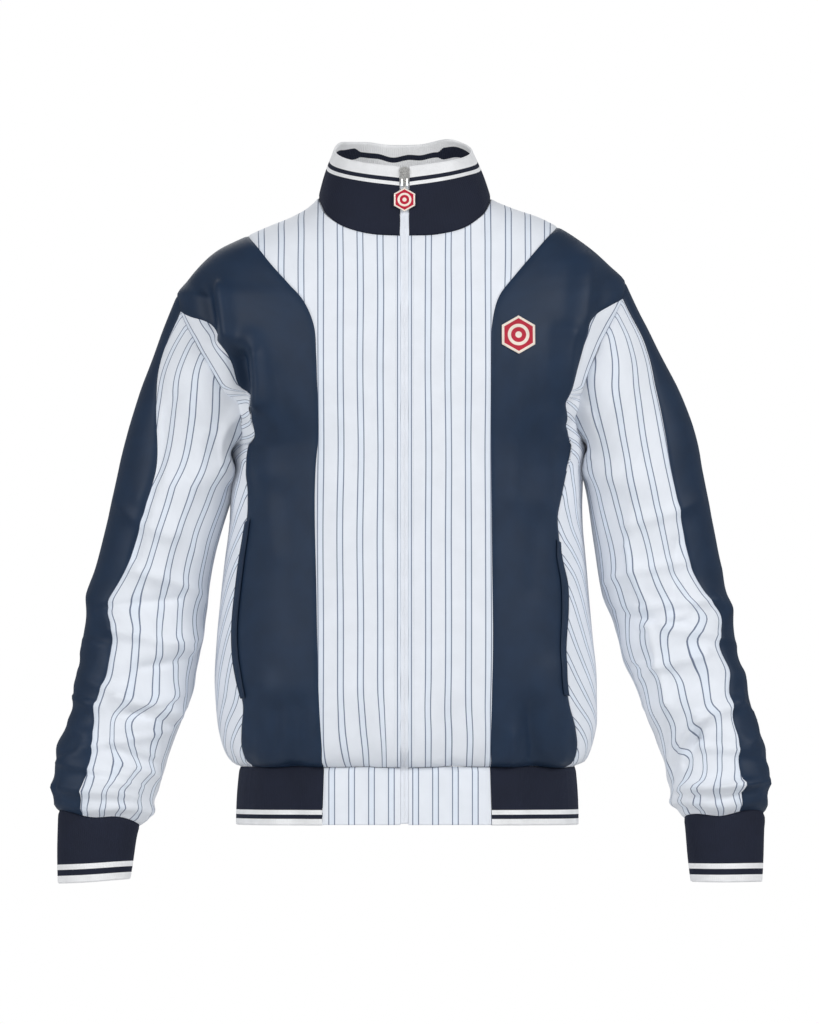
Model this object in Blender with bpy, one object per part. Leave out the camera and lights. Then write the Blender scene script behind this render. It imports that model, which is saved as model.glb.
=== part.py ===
"""A track jacket in its worn shape: every cut piece is a thin wall of its own.

The jacket faces -Y and the wearer's left is +X. The origin is on the centre line at the
base of the neck. All tables are in millimetres and degrees; the meshes are in metres.
"""

import math

import bpy
import numpy as np

MM = 0.001
SIDES = {"right": -1.0, "left": 1.0}
FRONT, BACK = -1.0, 1.0

CLOTH_WALL = 1.8
RIB_WALL = 3.0
HALF_SEAM_GAP = 0.15
POINT_DRAW = 4.0
SEAT_GAP = 0.3
MITRE_LIMIT = 2.4
MITRE_EASE = 0.04
SPLIT_LINE = (1.0, 0.37, 2.3)

HEM_HEIGHT = -625.3
BAND_BOTTOM = -688.0
BAND_FLARE = {"right": 1.022, "left": 1.018}
OPENING_HALF = 4.5

# The torso's form, level by level: half widths to each side, depth to the front and the
# back, and how square the section is (2 is an ellipse).
TORSO_COLUMNS = ("height", "half_right", "half_left", "front", "back", "square")
TORSO = [
    (-640.0, 180.5, 189.0, 112.0, 108.0, 2.40),
    (-625.3, 180.5, 189.0, 114.0, 110.0, 2.40),
    (-621.0, 188.0, 197.0, 121.0, 116.0, 2.40),
    (-612.0, 195.5, 203.0, 127.0, 121.0, 2.40),
    (-596.0, 202.0, 208.5, 133.0, 126.0, 2.38),
    (-574.0, 206.0, 212.5, 137.0, 129.0, 2.36),
    (-530.0, 208.5, 212.0, 140.0, 131.0, 2.35),
    (-486.0, 206.0, 207.5, 140.0, 131.0, 2.35),
    (-442.0, 202.0, 203.0, 139.0, 130.0, 2.35),
    (-398.0, 197.5, 198.6, 138.0, 130.0, 2.35),
    (-354.0, 190.5, 192.5, 137.0, 130.0, 2.35),
    (-310.0, 180.0, 183.5, 137.0, 130.0, 2.35),
    (-288.0, 176.5, 181.0, 136.5, 130.0, 2.35),
    (-272.0, 177.0, 182.5, 136.0, 130.0, 2.35),
    (-261.0, 183.0, 187.0, 135.5, 129.5, 2.35),
    (-240.0, 203.0, 200.0, 134.5, 129.0, 2.35),
    (-214.0, 223.0, 216.0, 132.5, 128.0, 2.35),
    (-188.0, 236.0, 230.0, 130.0, 127.0, 2.35),
    (-163.0, 245.5, 240.0, 126.5, 125.0, 2.35),
    (-125.0, 250.5, 246.5, 118.0, 120.0, 2.30),
    (-107.0, 250.0, 247.0, 112.0, 115.0, 2.30),
    (-92.0, 239.0, 243.0, 106.5, 110.0, 2.25),
    (-74.0, 223.5, 225.0, 99.0, 103.0, 2.25),
    (-59.0, 206.0, 208.0, 92.5, 96.0, 2.20),
    (-42.0, 172.0, 185.0, 85.0, 87.0, 2.20),
    (-30.0, 147.0, 165.0, 79.5, 80.0, 2.15),
    (-20.0, 124.0, 146.0, 75.0, 73.5, 2.10),
    (-10.0, 106.0, 118.0, 71.0, 66.5, 2.05),
    (0.0, 95.0, 96.0, 67.0, 59.0, 2.00),
    (12.0, 85.0, 84.0, 63.0, 54.0, 2.00),
]

# The armhole, from the shoulder tip (0) over the front to the underarm (180): its level
# and how far it lies inside the torso's outline. The back half is the same, mirrored.
ARMHOLE_COLUMNS = ("around", "height", "inset")
ARMHOLE = {
    "right": [
        (0.0, -107.0, 0.0), (15.0, -125.0, 3.5), (45.0, -163.0, 15.5), (70.0, -188.0, 21.5),
        (95.0, -214.0, 22.3), (125.0, -240.0, 16.2), (155.0, -262.0, 6.0), (180.0, -272.0, 0.0),
    ],
    "left": [
        (0.0, -92.0, 0.0), (15.0, -111.0, 6.0), (45.0, -140.0, 18.0), (70.0, -163.0, 25.0),
        (95.0, -187.0, 26.0), (125.0, -224.0, 17.0), (155.0, -256.0, 6.0), (180.0, -272.0, 0.0),
    ],
}
JUNCTION = 15.0

# The seam between the centre front and the side front, and the seam between the side
# front and the side panel, both as they lie seen from the front, hem to shoulder.
SEAM_COLUMNS = ("across", "height")
FRONT_SEAM = {
    "right": [
        (88.8, -625.3), (92.7, -577.0), (94.7, -529.0), (96.7, -430.0), (98.7, -332.0),
        (98.0, -300.0), (94.6, -251.0), (95.7, -215.0), (97.8, -155.0), (101.9, -129.0),
        (112.4, -111.5), (143.0, -77.4), (160.0, -56.0), (172.0, -42.0),
    ],
    "left": [
        (94.6, -625.3), (95.8, -560.0), (96.9, -486.0), (96.0, -390.0), (95.3, -300.0),
        (94.8, -220.0), (95.5, -148.5), (96.8, -131.8), (100.3, -115.0), (108.8, -100.9),
        (128.4, -77.0), (150.8, -50.4), (168.4, -32.0),
    ],
}
SIDE_FRONT_SEAM = {
    "right": [
        (168.0, -625.3), (178.5, -613.0), (183.0, -600.0), (177.0, -560.0), (186.5, -522.0),
        (188.0, -474.0), (184.0, -420.0), (178.0, -377.0), (171.0, -346.0), (170.0, -314.0),
        (168.5, -284.0), (169.5, -256.0), (175.0, -234.0), (184.0, -214.0), (192.0, -195.0),
        (197.5, -174.0), (204.0, -154.0), (217.0, -138.0), (232.0, -127.0),
    ],
    "left": [
        (175.0, -625.3), (187.0, -612.0), (190.0, -598.0), (183.6, -570.0), (177.0, -544.0),
        (176.5, -506.0), (179.0, -470.0), (181.0, -432.0), (173.0, -398.0), (166.0, -370.0),
        (168.5, -345.0), (172.0, -318.0), (172.5, -287.0), (174.0, -256.0), (179.0, -220.0),
        (185.0, -198.0), (192.5, -180.0), (198.0, -158.0), (204.0, -138.0), (217.0, -122.0),
        (230.0, -113.0),
    ],
}
# The same two seams on the back.
BACK_SEAM = {
    "right": [
        (88.8, -625.3), (94.0, -560.0), (97.0, -430.0), (97.0, -260.0), (99.0, -155.0),
        (104.0, -128.0), (116.0, -108.0), (143.0, -77.4), (160.0, -56.0), (172.0, -42.0),
    ],
    "left": [
        (94.6, -625.3), (96.5, -560.0), (97.0, -430.0), (97.0, -260.0), (98.0, -150.0),
        (101.0, -124.0), (110.0, -100.0), (128.4, -77.0), (150.8, -50.4), (168.4, -32.0),
    ],
}
SIDE_BACK_SEAM = {
    "right": [
        (168.0, -625.3), (180.0, -610.0), (184.0, -585.0), (186.0, -520.0), (182.0, -430.0),
        (174.0, -350.0), (168.0, -290.0), (172.0, -240.0), (187.0, -200.0), (206.0, -160.0),
        (232.0, -130.0),
    ],
    "left": [
        (175.0, -625.3), (187.0, -610.0), (190.0, -585.0), (188.0, -520.0), (182.0, -430.0),
        (174.0, -350.0), (171.0, -290.0), (174.0, -240.0), (187.0, -190.0), (204.0, -148.0),
        (230.0, -116.0),
    ],
}
SHOULDER_JOIN = {"right": -42.0, "left": -32.0}
NECK_SIDE = 0.0
NECK_FRONT = [(OPENING_HALF, -42.0), (36.0, -40.5), (68.0, -32.0), (89.0, -15.0)]
NECK_BACK = [(70.0, -1.5), (38.0, -3.5), (0.0, -4.0)]

# The stand collar's rim.
RIM_HALF_WIDTH = {"right": 78.0, "left": 75.0}
RIM_FRONT_DEPTH = 70.0
RIM_BACK_DEPTH = 60.0
RIM_COLUMNS = ("turn", "height")
RIM = {
    "right": [(0.0, 33.0), (40.0, 38.0), (90.0, 47.0), (135.0, 59.0), (180.0, 61.0)],
    "left": [(0.0, 33.0), (40.0, 40.0), (90.0, 52.0), (135.0, 65.0), (180.0, 61.0)],
}

# The sleeves, ring by ring below the cap: the middle of the ring and its half sizes.
SLEEVE_COLUMNS = ("height", "out", "forward", "half_width", "half_depth")
SLEEVE = {
    "right": [
        (-684.0, 337.5, 30.0, 43.0, 30.0), (-672.0, 335.5, 29.0, 49.5, 36.0),
        (-654.0, 331.0, 26.0, 54.5, 43.0), (-618.0, 322.5, 20.0, 57.5, 48.0),
        (-574.0, 307.0, 14.0, 57.5, 51.0), (-530.0, 296.5, 8.0, 62.0, 53.0),
        (-486.0, 288.5, 3.0, 65.0, 55.0), (-442.0, 282.0, 0.0, 64.0, 57.0),
        (-376.0, 268.0, 1.0, 62.5, 60.0), (-310.0, 251.0, 2.0, 65.0, 62.0),
    ],
    "left": [
        (-681.0, 351.5, 30.0, 43.0, 30.0), (-669.0, 349.5, 29.0, 48.5, 36.0),
        (-650.0, 345.5, 26.0, 52.0, 42.0), (-618.0, 340.5, 20.0, 53.5, 46.0),
        (-574.0, 328.0, 14.0, 54.5, 49.0), (-530.0, 313.0, 8.0, 58.0, 52.0),
        (-486.0, 302.0, 3.0, 61.0, 54.0), (-453.0, 292.0, 1.0, 62.5, 56.0),
        (-420.0, 283.0, 0.0, 67.5, 58.0), (-376.0, 275.0, 1.0, 67.0, 60.0),
        (-299.0, 262.0, 2.0, 65.0, 62.0),
    ],
}
SLEEVE_SQUARE = 2.15
CAP_ROWS = 7
ARM_ROWS = 18
OUTER_COLUMNS = 6
UNDER_COLUMNS = 20

# Where the outer strip's front and back seams run round the sleeve. The way down is 0 at
# the armhole, 1 at the foot of the cap and 2 at the cuff.
STRIP_COLUMNS = ("down", "front_seam", "back_seam")
STRIP = {
    "right": [
        (0.00, 15.0, -15.0), (0.17, 26.0, -28.0), (0.33, 39.0, -42.0), (0.56, 54.0, -56.0),
        (1.00, 64.0, -64.0), (1.25, 63.0, -64.0), (1.37, 51.0, -62.0), (1.46, 63.0, -62.0),
        (1.58, 64.0, -66.0), (1.71, 57.0, -64.0), (1.84, 72.0, -66.0), (2.00, 68.0, -66.0),
    ],
    "left": [
        (0.00, 15.0, -15.0), (0.17, 26.0, -28.0), (0.33, 39.0, -42.0), (0.56, 52.0, -56.0),
        (1.00, 57.0, -62.0), (1.21, 61.0, -64.0), (1.33, 52.0, -62.0), (1.40, 39.0, -60.0),
        (1.46, 50.0, -62.0), (1.56, 45.0, -64.0), (1.71, 56.0, -64.0), (1.88, 65.0, -66.0),
        (2.00, 68.0, -66.0),
    ],
}

# Soft ridges in the torso's cloth: where each starts and ends seen from the front or the
# back, how wide it is and how far it stands out (troughs are negative).
TORSO_FOLD_COLUMNS = ("face", "from_x", "from_z", "to_x", "to_z", "width", "height")
TORSO_FOLDS = [
    (FRONT, -206.0, -104.0, -198.0, -152.0, 13.0, 6.0),
    (FRONT, -170.0, -158.0, -164.0, -222.0, 13.0, 7.0),
    (FRONT, -186.0, -176.0, -181.0, -214.0, 9.0, -4.0),
    (FRONT, -165.0, -232.0, -150.0, -300.0, 17.0, 5.0),
    (FRONT, -118.0, -560.0, -119.0, -622.0, 12.0, -4.0),
    (FRONT, -150.0, -540.0, -148.0, -618.0, 16.0, 3.5),
    (FRONT, 196.0, -70.0, 188.0, -145.0, 15.0, 5.0),
    (FRONT, 176.0, -150.0, 168.0, -235.0, 15.0, 5.0),
    (FRONT, 166.0, -260.0, 152.0, -330.0, 18.0, 4.0),
    (FRONT, 140.0, -560.0, 142.0, -622.0, 12.0, -4.0),
    (FRONT, 165.0, -520.0, 168.0, -612.0, 16.0, 3.0),
    (FRONT, 50.0, -575.0, 52.0, -622.0, 12.0, -2.5),
    (FRONT, -46.0, -580.0, -45.0, -622.0, 12.0, -2.5),
    (BACK, -196.0, -110.0, -176.0, -230.0, 16.0, 6.0),
    (BACK, 192.0, -100.0, 172.0, -225.0, 16.0, 5.5),
    (BACK, -150.0, -240.0, -120.0, -350.0, 18.0, 4.0),
    (BACK, 150.0, -240.0, 118.0, -360.0, 18.0, 4.5),
    (BACK, -120.0, -540.0, -122.0, -622.0, 15.0, -4.0),
    (BACK, 122.0, -550.0, 124.0, -622.0, 14.0, -3.5),
    (BACK, 10.0, -560.0, 12.0, -622.0, 16.0, -3.0),
    (BACK, -60.0, -555.0, -58.0, -618.0, 18.0, 3.0),
    (BACK, 66.0, -550.0, 64.0, -618.0, 18.0, 3.0),
]

# Soft buckles across the sleeves: the middle (turn round the sleeve and level), how far
# round and how wide each reaches, how much it drops in a quarter turn, and its height.
SLEEVE_FOLD_COLUMNS = ("around", "height", "reach", "width", "slant", "rise")
SLEEVE_FOLDS = {
    "right": [
        (150.0, -300.0, 60.0, 16.0, -26.0, 6.0), (60.0, -455.0, 75.0, 17.0, 30.0, 5.0),
        (110.0, -500.0, 70.0, 17.0, -28.0, 5.5), (35.0, -545.0, 75.0, 15.0, 24.0, 5.5),
        (120.0, -575.0, 65.0, 14.0, -24.0, 5.0), (40.0, -608.0, 70.0, 13.0, 18.0, 4.5),
        (115.0, -640.0, 75.0, 13.0, -14.0, 5.5), (20.0, -652.0, 60.0, 12.0, 8.0, 4.0),
        (250.0, -470.0, 70.0, 17.0, 24.0, 5.0), (230.0, -530.0, 70.0, 16.0, -20.0, 5.0),
        (260.0, -590.0, 70.0, 14.0, 18.0, 4.5), (240.0, -645.0, 75.0, 13.0, -10.0, 5.0),
    ],
    "left": [
        (150.0, -300.0, 60.0, 16.0, -24.0, 6.0), (50.0, -440.0, 70.0, 16.0, -26.0, 6.0),
        (115.0, -482.0, 75.0, 17.0, 28.0, 5.5), (40.0, -520.0, 70.0, 15.0, -24.0, 5.0),
        (110.0, -556.0, 70.0, 15.0, 26.0, 5.0), (40.0, -598.0, 70.0, 13.0, -18.0, 4.5),
        (90.0, -652.0, 90.0, 12.0, 12.0, 6.5), (20.0, -632.0, 55.0, 12.0, 8.0, 4.0),
        (250.0, -460.0, 70.0, 17.0, -24.0, 5.0), (235.0, -525.0, 70.0, 16.0, 20.0, 5.0),
        (260.0, -588.0, 70.0, 14.0, -18.0, 4.5), (240.0, -645.0, 75.0, 13.0, 10.0, 5.0),
    ],
}

CUFF_BOTTOM = {"right": -750.0, "left": -745.0}
CUFF_OUT = {"right": 341.0, "left": 353.7}
CUFF_FORWARD = 38.0
CUFF_HALF_WIDTH = 41.0
CUFF_HALF_DEPTH = 29.5
CUFF_ROWS = 3
BAND_ROWS = 2
COLLAR_ROWS = 4

BODY_ROWS = 22
NECK_SPANS = 5
SHOULDER_SPANS = 3
TIP_SPANS = 4
JUNCTION_SPANS = OUTER_COLUMNS // 2
WEDGE_SPANS = UNDER_COLUMNS // 2
SIDE_SPANS = 4
BACK_NECK_SPANS = 8
RELAX_PASSES = 90
DENSE = 600

# The pocket welts: they lie on the side fronts' last column, by shares of its width.
WELT_FROM, WELT_TO = 0.36, 0.90
WELT_GAP = 0.6
WELT_REACH = 14.0
WELT_ENDS = {"right": (-362.0, -546.0), "left": (-378.0, -543.0)}

BADGE_ACROSS, BADGE_HEIGHT = 125.0, -151.0
BADGE_RADIUS = 21.0
BADGE_WALL = 1.6
BADGE_SIDES = 6
BADGE_RINGS = 3

ZIP_RIDGE_HALF = OPENING_HALF - SEAT_GAP
ZIP_TAPE_HALF = 10.5
ZIP_TAPE_LEAN = 1.6
ZIP_TAPE = 0.9
ZIP_SINK = 0.4
ZIP_TOP = 22.0
ZIP_TAPE_GAP = 0.6
ZIP_FOOT_INSET = 1.0

SLIDER_MIDDLE = 24.0
SLIDER_LENGTH, SLIDER_HALF_TOP, SLIDER_HALF_FOOT = 19.0, 5.6, 4.4
SLIDER_PLATE, SHOULDER_STEPS, SHOULDER_RISE, FOOT_CUT, BACK_PLATE_SHORTER = 1.6, 5, 4.0, 1.5, 3.0
POST_HALF, POST_LENGTH, POST_INSET, WELD = 1.8, 5.0, 1.0, 0.5
BAIL_HALF, BAIL_FROM, BAIL_TO, BAIL_CLEAR, BAIL_BAR, BAIL_RAISED = 1.5, -5.5, 3.5, 2.4, 1.3, 0.2
PIVOT_ALONG, PIVOT_OUT = -3.9, 1.25
WIRE_RADIUS = 0.6
LINK_HALF_WIDTH, LINK_LENGTH = 2.6, 9.0
LINK_CORNER, LINK_STEPS, WIRE_STEPS = 1.1, 4, 8
TAG_RADIUS, TAG_WALL, TAG_DROP = 13.4, 2.0, 1.75
EYE_INNER, EYE_OUTER, EYE_HALF_WIDTH, EYE_STEPS = 0.95, 2.25, 1.4, 12

WHITE = (0.80, 0.84, 0.91)
NAVY = (0.030, 0.047, 0.085)
RIB_NAVY = (0.017, 0.021, 0.045)
RED = (0.52, 0.012, 0.035)
SILVER = (0.62, 0.62, 0.62)
SLOTS = {
    "white_stripe_cloth": (WHITE, 0.8, 0.0),
    "navy_cloth": (NAVY, 0.72, 0.0),
    "navy_rib": (RIB_NAVY, 0.85, 0.0),
    "zip_tape": ((0.86, 0.88, 0.92), 0.7, 0.0),
    "silver_metal": (SILVER, 0.28, 1.0),
    "red_enamel": (RED, 0.3, 0.0),
    "badge_cloth": (RED, 0.8, 0.0),
}


def remove_everything():
    for item in list(bpy.data.objects):
        bpy.data.objects.remove(item, do_unlink=True)


def make_material(name):
    colour, roughness, metallic = SLOTS[name]
    material = bpy.data.materials.new(name)
    material.use_nodes = True
    shader = material.node_tree.nodes["Principled BSDF"]
    shader.inputs["Base Color"].default_value = (*colour, 1.0)
    shader.inputs["Roughness"].default_value = roughness
    shader.inputs["Metallic"].default_value = metallic
    return material


def make_object(name, slot, vertices, faces, offset=(0.0, 0.0, 0.0)):
    """One closed body; its points are in millimetres from the offset point."""
    mesh = bpy.data.meshes.new(name)
    mesh.from_pydata([tuple(point) for point in np.asarray(vertices) * MM], [], faces)
    mesh.shade_smooth()
    mesh.set_sharp_from_angle(angle=math.radians(50.0))
    mesh.materials.append(bpy.data.materials.get(slot) or make_material(slot))
    item = bpy.data.objects.new(name, mesh)
    item.location = [value * MM for value in offset]
    bpy.context.scene.collection.objects.link(item)
    return item


def unit(vectors):
    vectors = np.asarray(vectors, float)
    length = np.linalg.norm(vectors, axis=-1, keepdims=True)
    return vectors / np.maximum(length, 1e-9)


def smooth(keys, values, at):
    """Reads a smooth curve through keyed values, which never overshoots them."""
    keys = np.asarray(keys, float)
    values = np.asarray(values, float)
    at = np.clip(np.asarray(at, float), keys[0], keys[-1])
    steps = np.diff(keys)
    slopes = np.diff(values) / steps
    product = slopes[:-1] * slopes[1:]
    total = np.where(product > 0.0, slopes[:-1] + slopes[1:], 1.0)
    inner = np.where(product > 0.0, 2.0 * product / total, 0.0)
    tangents = np.concatenate([slopes[:1], inner, slopes[-1:]])
    index = np.clip(np.searchsorted(keys, at, side="right") - 1, 0, len(steps) - 1)
    t = (at - keys[index]) / steps[index]
    rise = values[index + 1] - values[index]
    start = tangents[index] * steps[index]
    end = tangents[index + 1] * steps[index]
    curve = t * start + t * t * (3 * rise - 2 * start - end) + t**3 * (start + end - 2 * rise)
    return values[index] + curve


def columns(names, rows):
    """A short table as named arrays, ordered by its first column."""
    ordered = sorted(rows)
    return {name: np.array([row[k] for row in ordered]) for k, name in enumerate(names)}


TORSO_TABLE = columns(TORSO_COLUMNS, TORSO)
ARMHOLE_TABLE = {side: columns(ARMHOLE_COLUMNS, rows) for side, rows in ARMHOLE.items()}
SLEEVE_TABLE = {side: columns(SLEEVE_COLUMNS, rows) for side, rows in SLEEVE.items()}
STRIP_TABLE = {side: columns(STRIP_COLUMNS, rows) for side, rows in STRIP.items()}
RIM_TABLE = {side: columns(RIM_COLUMNS, rows) for side, rows in RIM.items()}


def torso_size(name, height):
    return smooth(TORSO_TABLE["height"], TORSO_TABLE[name], height)


def half_width(x, height):
    return np.where(x < 0.0, torso_size("half_right", height), torso_size("half_left", height))


def torso_depth(face, height):
    return np.where(face < 0.0, torso_size("front", height), torso_size("back", height))


def on_torso(x, height, face):
    """The torso's point at a place seen from the front or the back."""
    x, height = np.asarray(x, float), np.asarray(height, float)
    square = torso_size("square", height)
    half = half_width(x, height)
    share = np.clip(np.abs(x) / half, 0.0, 1.0)
    y = face * torso_depth(face, height) * (1.0 - share**square) ** (1.0 / square)
    return np.stack([np.sign(x) * share * half, y, height], axis=-1)


def torso_level(points):
    """Zero on the torso's form, negative inside it."""
    x, y, height = np.moveaxis(points, -1, 0)
    square = torso_size("square", height)
    across = np.abs(x) / half_width(x, height)
    through = np.abs(y) / torso_depth(y, height)
    return across**square + through**square - 1.0


def torso_slope(points, step=0.4):
    parts = [
        torso_level(points + step * axis) - torso_level(points - step * axis) for axis in np.eye(3)
    ]
    return np.stack(parts, axis=-1) / (2.0 * step)


def onto_torso(points, passes=8):
    """Moves points that lie near the form onto it."""
    for _ in range(passes):
        slope = torso_slope(points)
        square = np.sum(slope * slope, axis=-1, keepdims=True)
        points = points - torso_level(points)[..., None] * slope / np.maximum(square, 1e-12)
    return points


def segment_distance(x, z, fold):
    """How far a place is from a fold's line, and from its ends along it."""
    _, from_x, from_z, to_x, to_z, _, _ = fold
    run_x, run_z = to_x - from_x, to_z - from_z
    length = math.hypot(run_x, run_z)
    share = ((x - from_x) * run_x + (z - from_z) * run_z) / length**2
    held = np.clip(share, 0.0, 1.0)
    return np.hypot(x - from_x - held * run_x, z - from_z - held * run_z)


def fold_torso(points):
    """Raises the folds in the torso's cloth."""
    x, y, z = np.moveaxis(points, -1, 0)
    rise = np.zeros_like(x)
    for fold in TORSO_FOLDS:
        face, width, height = fold[0], fold[5], fold[6]
        facing = np.clip(face * y / 40.0, 0.0, 1.0)
        rise += facing * height * np.exp(-((segment_distance(x, z, fold) / width) ** 2))
    return points + rise[..., None] * unit(torso_slope(points))


def spread(points, count):
    """Sets count + 1 points at even steps along a dense line."""
    lengths = np.linalg.norm(np.diff(points, axis=0), axis=-1)
    travelled = np.concatenate([[0.0], np.cumsum(lengths)])
    stops = np.linspace(0.0, travelled[-1], count + 1)
    return np.stack([np.interp(stops, travelled, points[:, k]) for k in range(3)], axis=-1)


def seam_line(side, keys, face, count):
    """A seam through places seen from the front or the back, as points on the torso."""
    keys = np.array(keys, float)
    travelled = np.concatenate([[0.0], np.cumsum(np.hypot(*np.diff(keys, axis=0).T))])
    at = np.linspace(0.0, travelled[-1], DENSE)
    at = travelled[-1] * (1.0 - (1.0 - at / travelled[-1]) ** 2)
    x = SIDES[side] * smooth(travelled, keys[:, 0], at)
    line = on_torso(x, smooth(travelled, keys[:, 1], at), face)
    return spread(line, count)


def silhouette(side, height):
    """The torso's side point at a level: on the shoulder, the shoulder seam."""
    height = np.asarray(height, float)
    x = SIDES[side] * half_width(np.full_like(height, SIDES[side]), height)
    return np.stack([x, np.zeros_like(x), height], axis=-1)


def ridge_line(side, start, end, count):
    return spread(silhouette(side, np.linspace(start, end, DENSE)), count)


def armhole(side, around):
    """The armhole's points; a turn past 180 runs up the back."""
    around = np.asarray(around, float) % 360.0
    turn = np.where(around > 180.0, 360.0 - around, around)
    table = ARMHOLE_TABLE[side]
    height = smooth(table["around"], table["height"], turn)
    inset = smooth(table["around"], table["inset"], turn)
    x = SIDES[side] * (half_width(np.full_like(height, SIDES[side]), height) - inset)
    on_front = on_torso(x, height, FRONT)
    on_back = on_torso(x, height, BACK)
    return np.where((around > 180.0)[..., None], on_back, on_front)


def armhole_turns(side, count):
    """The turns at even steps along the armhole, from the junction to the underarm."""
    turns = np.linspace(JUNCTION, 180.0, DENSE)
    lengths = np.linalg.norm(np.diff(armhole(side, turns), axis=0), axis=-1)
    travelled = np.concatenate([[0.0], np.cumsum(lengths)])
    return np.interp(np.linspace(0.0, travelled[-1], count + 1), travelled, turns)


def hem_line(side, start, end, face, count):
    """A stretch of the hem between two places seen from the front or the back."""
    x = SIDES[side] * np.linspace(start, end, DENSE)
    return spread(on_torso(x, np.full_like(x, HEM_HEIGHT), face), count)


def coons(bottom, top, start, end):
    """A four-sided patch between its edges; start and end run from bottom to top."""
    across = np.linspace(0.0, 1.0, len(bottom))[None, :, None]
    up = np.linspace(0.0, 1.0, len(start))[:, None, None]
    ruled = (1 - up) * bottom[None] + up * top[None]
    crossed = (1 - across) * start[:, None] + across * end[:, None]
    corners = (1 - up) * ((1 - across) * bottom[0] + across * bottom[-1])
    corners = corners + up * ((1 - across) * top[0] + across * top[-1])
    return ruled + crossed - corners


def dot(a, b):
    return np.sum(a * b, axis=-1, keepdims=True)


def evened(patch):
    """One step towards even cells that never cross the patch's edges."""
    above, below = patch[2:, 1:-1], patch[:-2, 1:-1]
    ahead, behind = patch[1:-1, 2:], patch[1:-1, :-2]
    across, up = (ahead - behind) / 2.0, (above - below) / 2.0
    corners = patch[2:, 2:] - patch[2:, :-2] - patch[:-2, 2:] + patch[:-2, :-2]
    tall, wide, skew = dot(up, up), dot(across, across), dot(across, up)
    total = tall * (ahead + behind) + wide * (above + below) - 0.5 * skew * corners
    return total / (2.0 * (tall + wide))


def torso_patch(bottom, top, start, end):
    """A cut piece of the torso: its edges stay, its inside is spread evenly on the form."""
    patch = coons(bottom, top, start, end)
    patch[1:-1, 1:-1] = onto_torso(patch[1:-1, 1:-1])
    for _ in range(RELAX_PASSES):
        patch[1:-1, 1:-1] = onto_torso(evened(patch), passes=2)
    return fold_torso(patch)


def joined(*lines):
    """Lines laid end to end, their shared points taken once."""
    return np.concatenate([lines[0]] + [line[1:] for line in lines[1:]])


def side_edges(side, face):
    """All the seams of one quarter of the torso, hem to top or centre to side."""
    front = face < 0.0
    centre_keys = (FRONT_SEAM if front else BACK_SEAM)[side]
    side_keys = (SIDE_FRONT_SEAM if front else SIDE_BACK_SEAM)[side]
    turn = 1.0 if front else -1.0
    tip = ARMHOLE_TABLE[side]["height"][0]
    underarm = ARMHOLE_TABLE[side]["height"][-1]
    centre_seam = seam_line(side, centre_keys, face, BODY_ROWS)
    centre_seam[-1] = silhouette(side, SHOULDER_JOIN[side])
    centre_seam = spread(centre_seam, BODY_ROWS)
    side_seam = seam_line(side, side_keys, face, BODY_ROWS)
    side_seam[-1] = armhole(side, turn * JUNCTION)
    side_seam = spread(side_seam, BODY_ROWS)
    half = half_width(SIDES[side], HEM_HEIGHT)
    return {
        "centre_seam": centre_seam,
        "side_seam": side_seam,
        "underarm_seam": ridge_line(side, HEM_HEIGHT, underarm, BODY_ROWS - WEDGE_SPANS),
        "shoulder_neck": ridge_line(side, NECK_SIDE, SHOULDER_JOIN[side], SHOULDER_SPANS),
        "shoulder_tip": ridge_line(side, SHOULDER_JOIN[side], tip, TIP_SPANS),
        "armhole_tip": armhole(side, turn * np.linspace(0.0, JUNCTION, JUNCTION_SPANS + 1)),
        "armhole_rise": armhole(side, turn * armhole_turns(side, WEDGE_SPANS)[::-1]),
        "hem_side": hem_line(side, centre_keys[0][0], side_keys[0][0], face, TIP_SPANS + JUNCTION_SPANS),
        "hem_under": hem_line(side, side_keys[0][0], half, face, SIDE_SPANS),
    }


def neck_line(side, face):
    """The neckline from the shoulder seam to the centre of the front or the back."""
    corner = (float(silhouette(side, NECK_SIDE)[0]) * SIDES[side], NECK_SIDE)
    if face < 0.0:
        return seam_line(side, NECK_FRONT + [corner], face, NECK_SPANS)[::-1]
    return seam_line(side, [corner] + NECK_BACK, face, BACK_NECK_SPANS // 2)


def torso_pieces():
    """The grids of every piece of the torso."""
    grids = {}
    centre_back = {}
    for side in SIDES:
        edges = {face: side_edges(side, face) for face in (FRONT, BACK)}
        front = edges[FRONT]
        neck = neck_line(side, FRONT)
        centre_x = OPENING_HALF
        spans = NECK_SPANS + SHOULDER_SPANS
        opening = seam_line(side, [(centre_x, HEM_HEIGHT), (centre_x, NECK_FRONT[0][1])], FRONT, BODY_ROWS)
        hem = hem_line(side, centre_x, FRONT_SEAM[side][0][0], FRONT, spans)
        top = joined(neck[::-1], front["shoulder_neck"])
        grids[f"front_centre_{side}"] = torso_patch(hem, top, opening, front["centre_seam"])
        for face, name in ((FRONT, "front"), (BACK, "back")):
            quarter = edges[face]
            top = joined(quarter["shoulder_tip"], quarter["armhole_tip"])
            grids[f"{name}_side_{side}"] = torso_patch(
                quarter["hem_side"], top, quarter["centre_seam"], quarter["side_seam"]
            )
            under = joined(quarter["underarm_seam"], quarter["armhole_rise"])
            point = np.repeat(under[-1:], SIDE_SPANS + 1, axis=0)
            grids[f"side_{name}_{side}"] = torso_patch(
                quarter["hem_under"], point, quarter["side_seam"], under
            )
        centre_back[side] = edges[BACK]
    right, left = centre_back["right"], centre_back["left"]
    neck = joined(neck_line("right", BACK), neck_line("left", BACK)[::-1])
    top = joined(right["shoulder_neck"][::-1], neck, left["shoulder_neck"])
    spans = len(top) - 1
    hem = np.linspace(-BACK_SEAM["right"][0][0], BACK_SEAM["left"][0][0], DENSE)
    hem = spread(on_torso(hem, np.full_like(hem, HEM_HEIGHT), BACK), spans)
    grids["back_centre"] = torso_patch(hem, top, right["centre_seam"], left["centre_seam"])
    return grids


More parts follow.
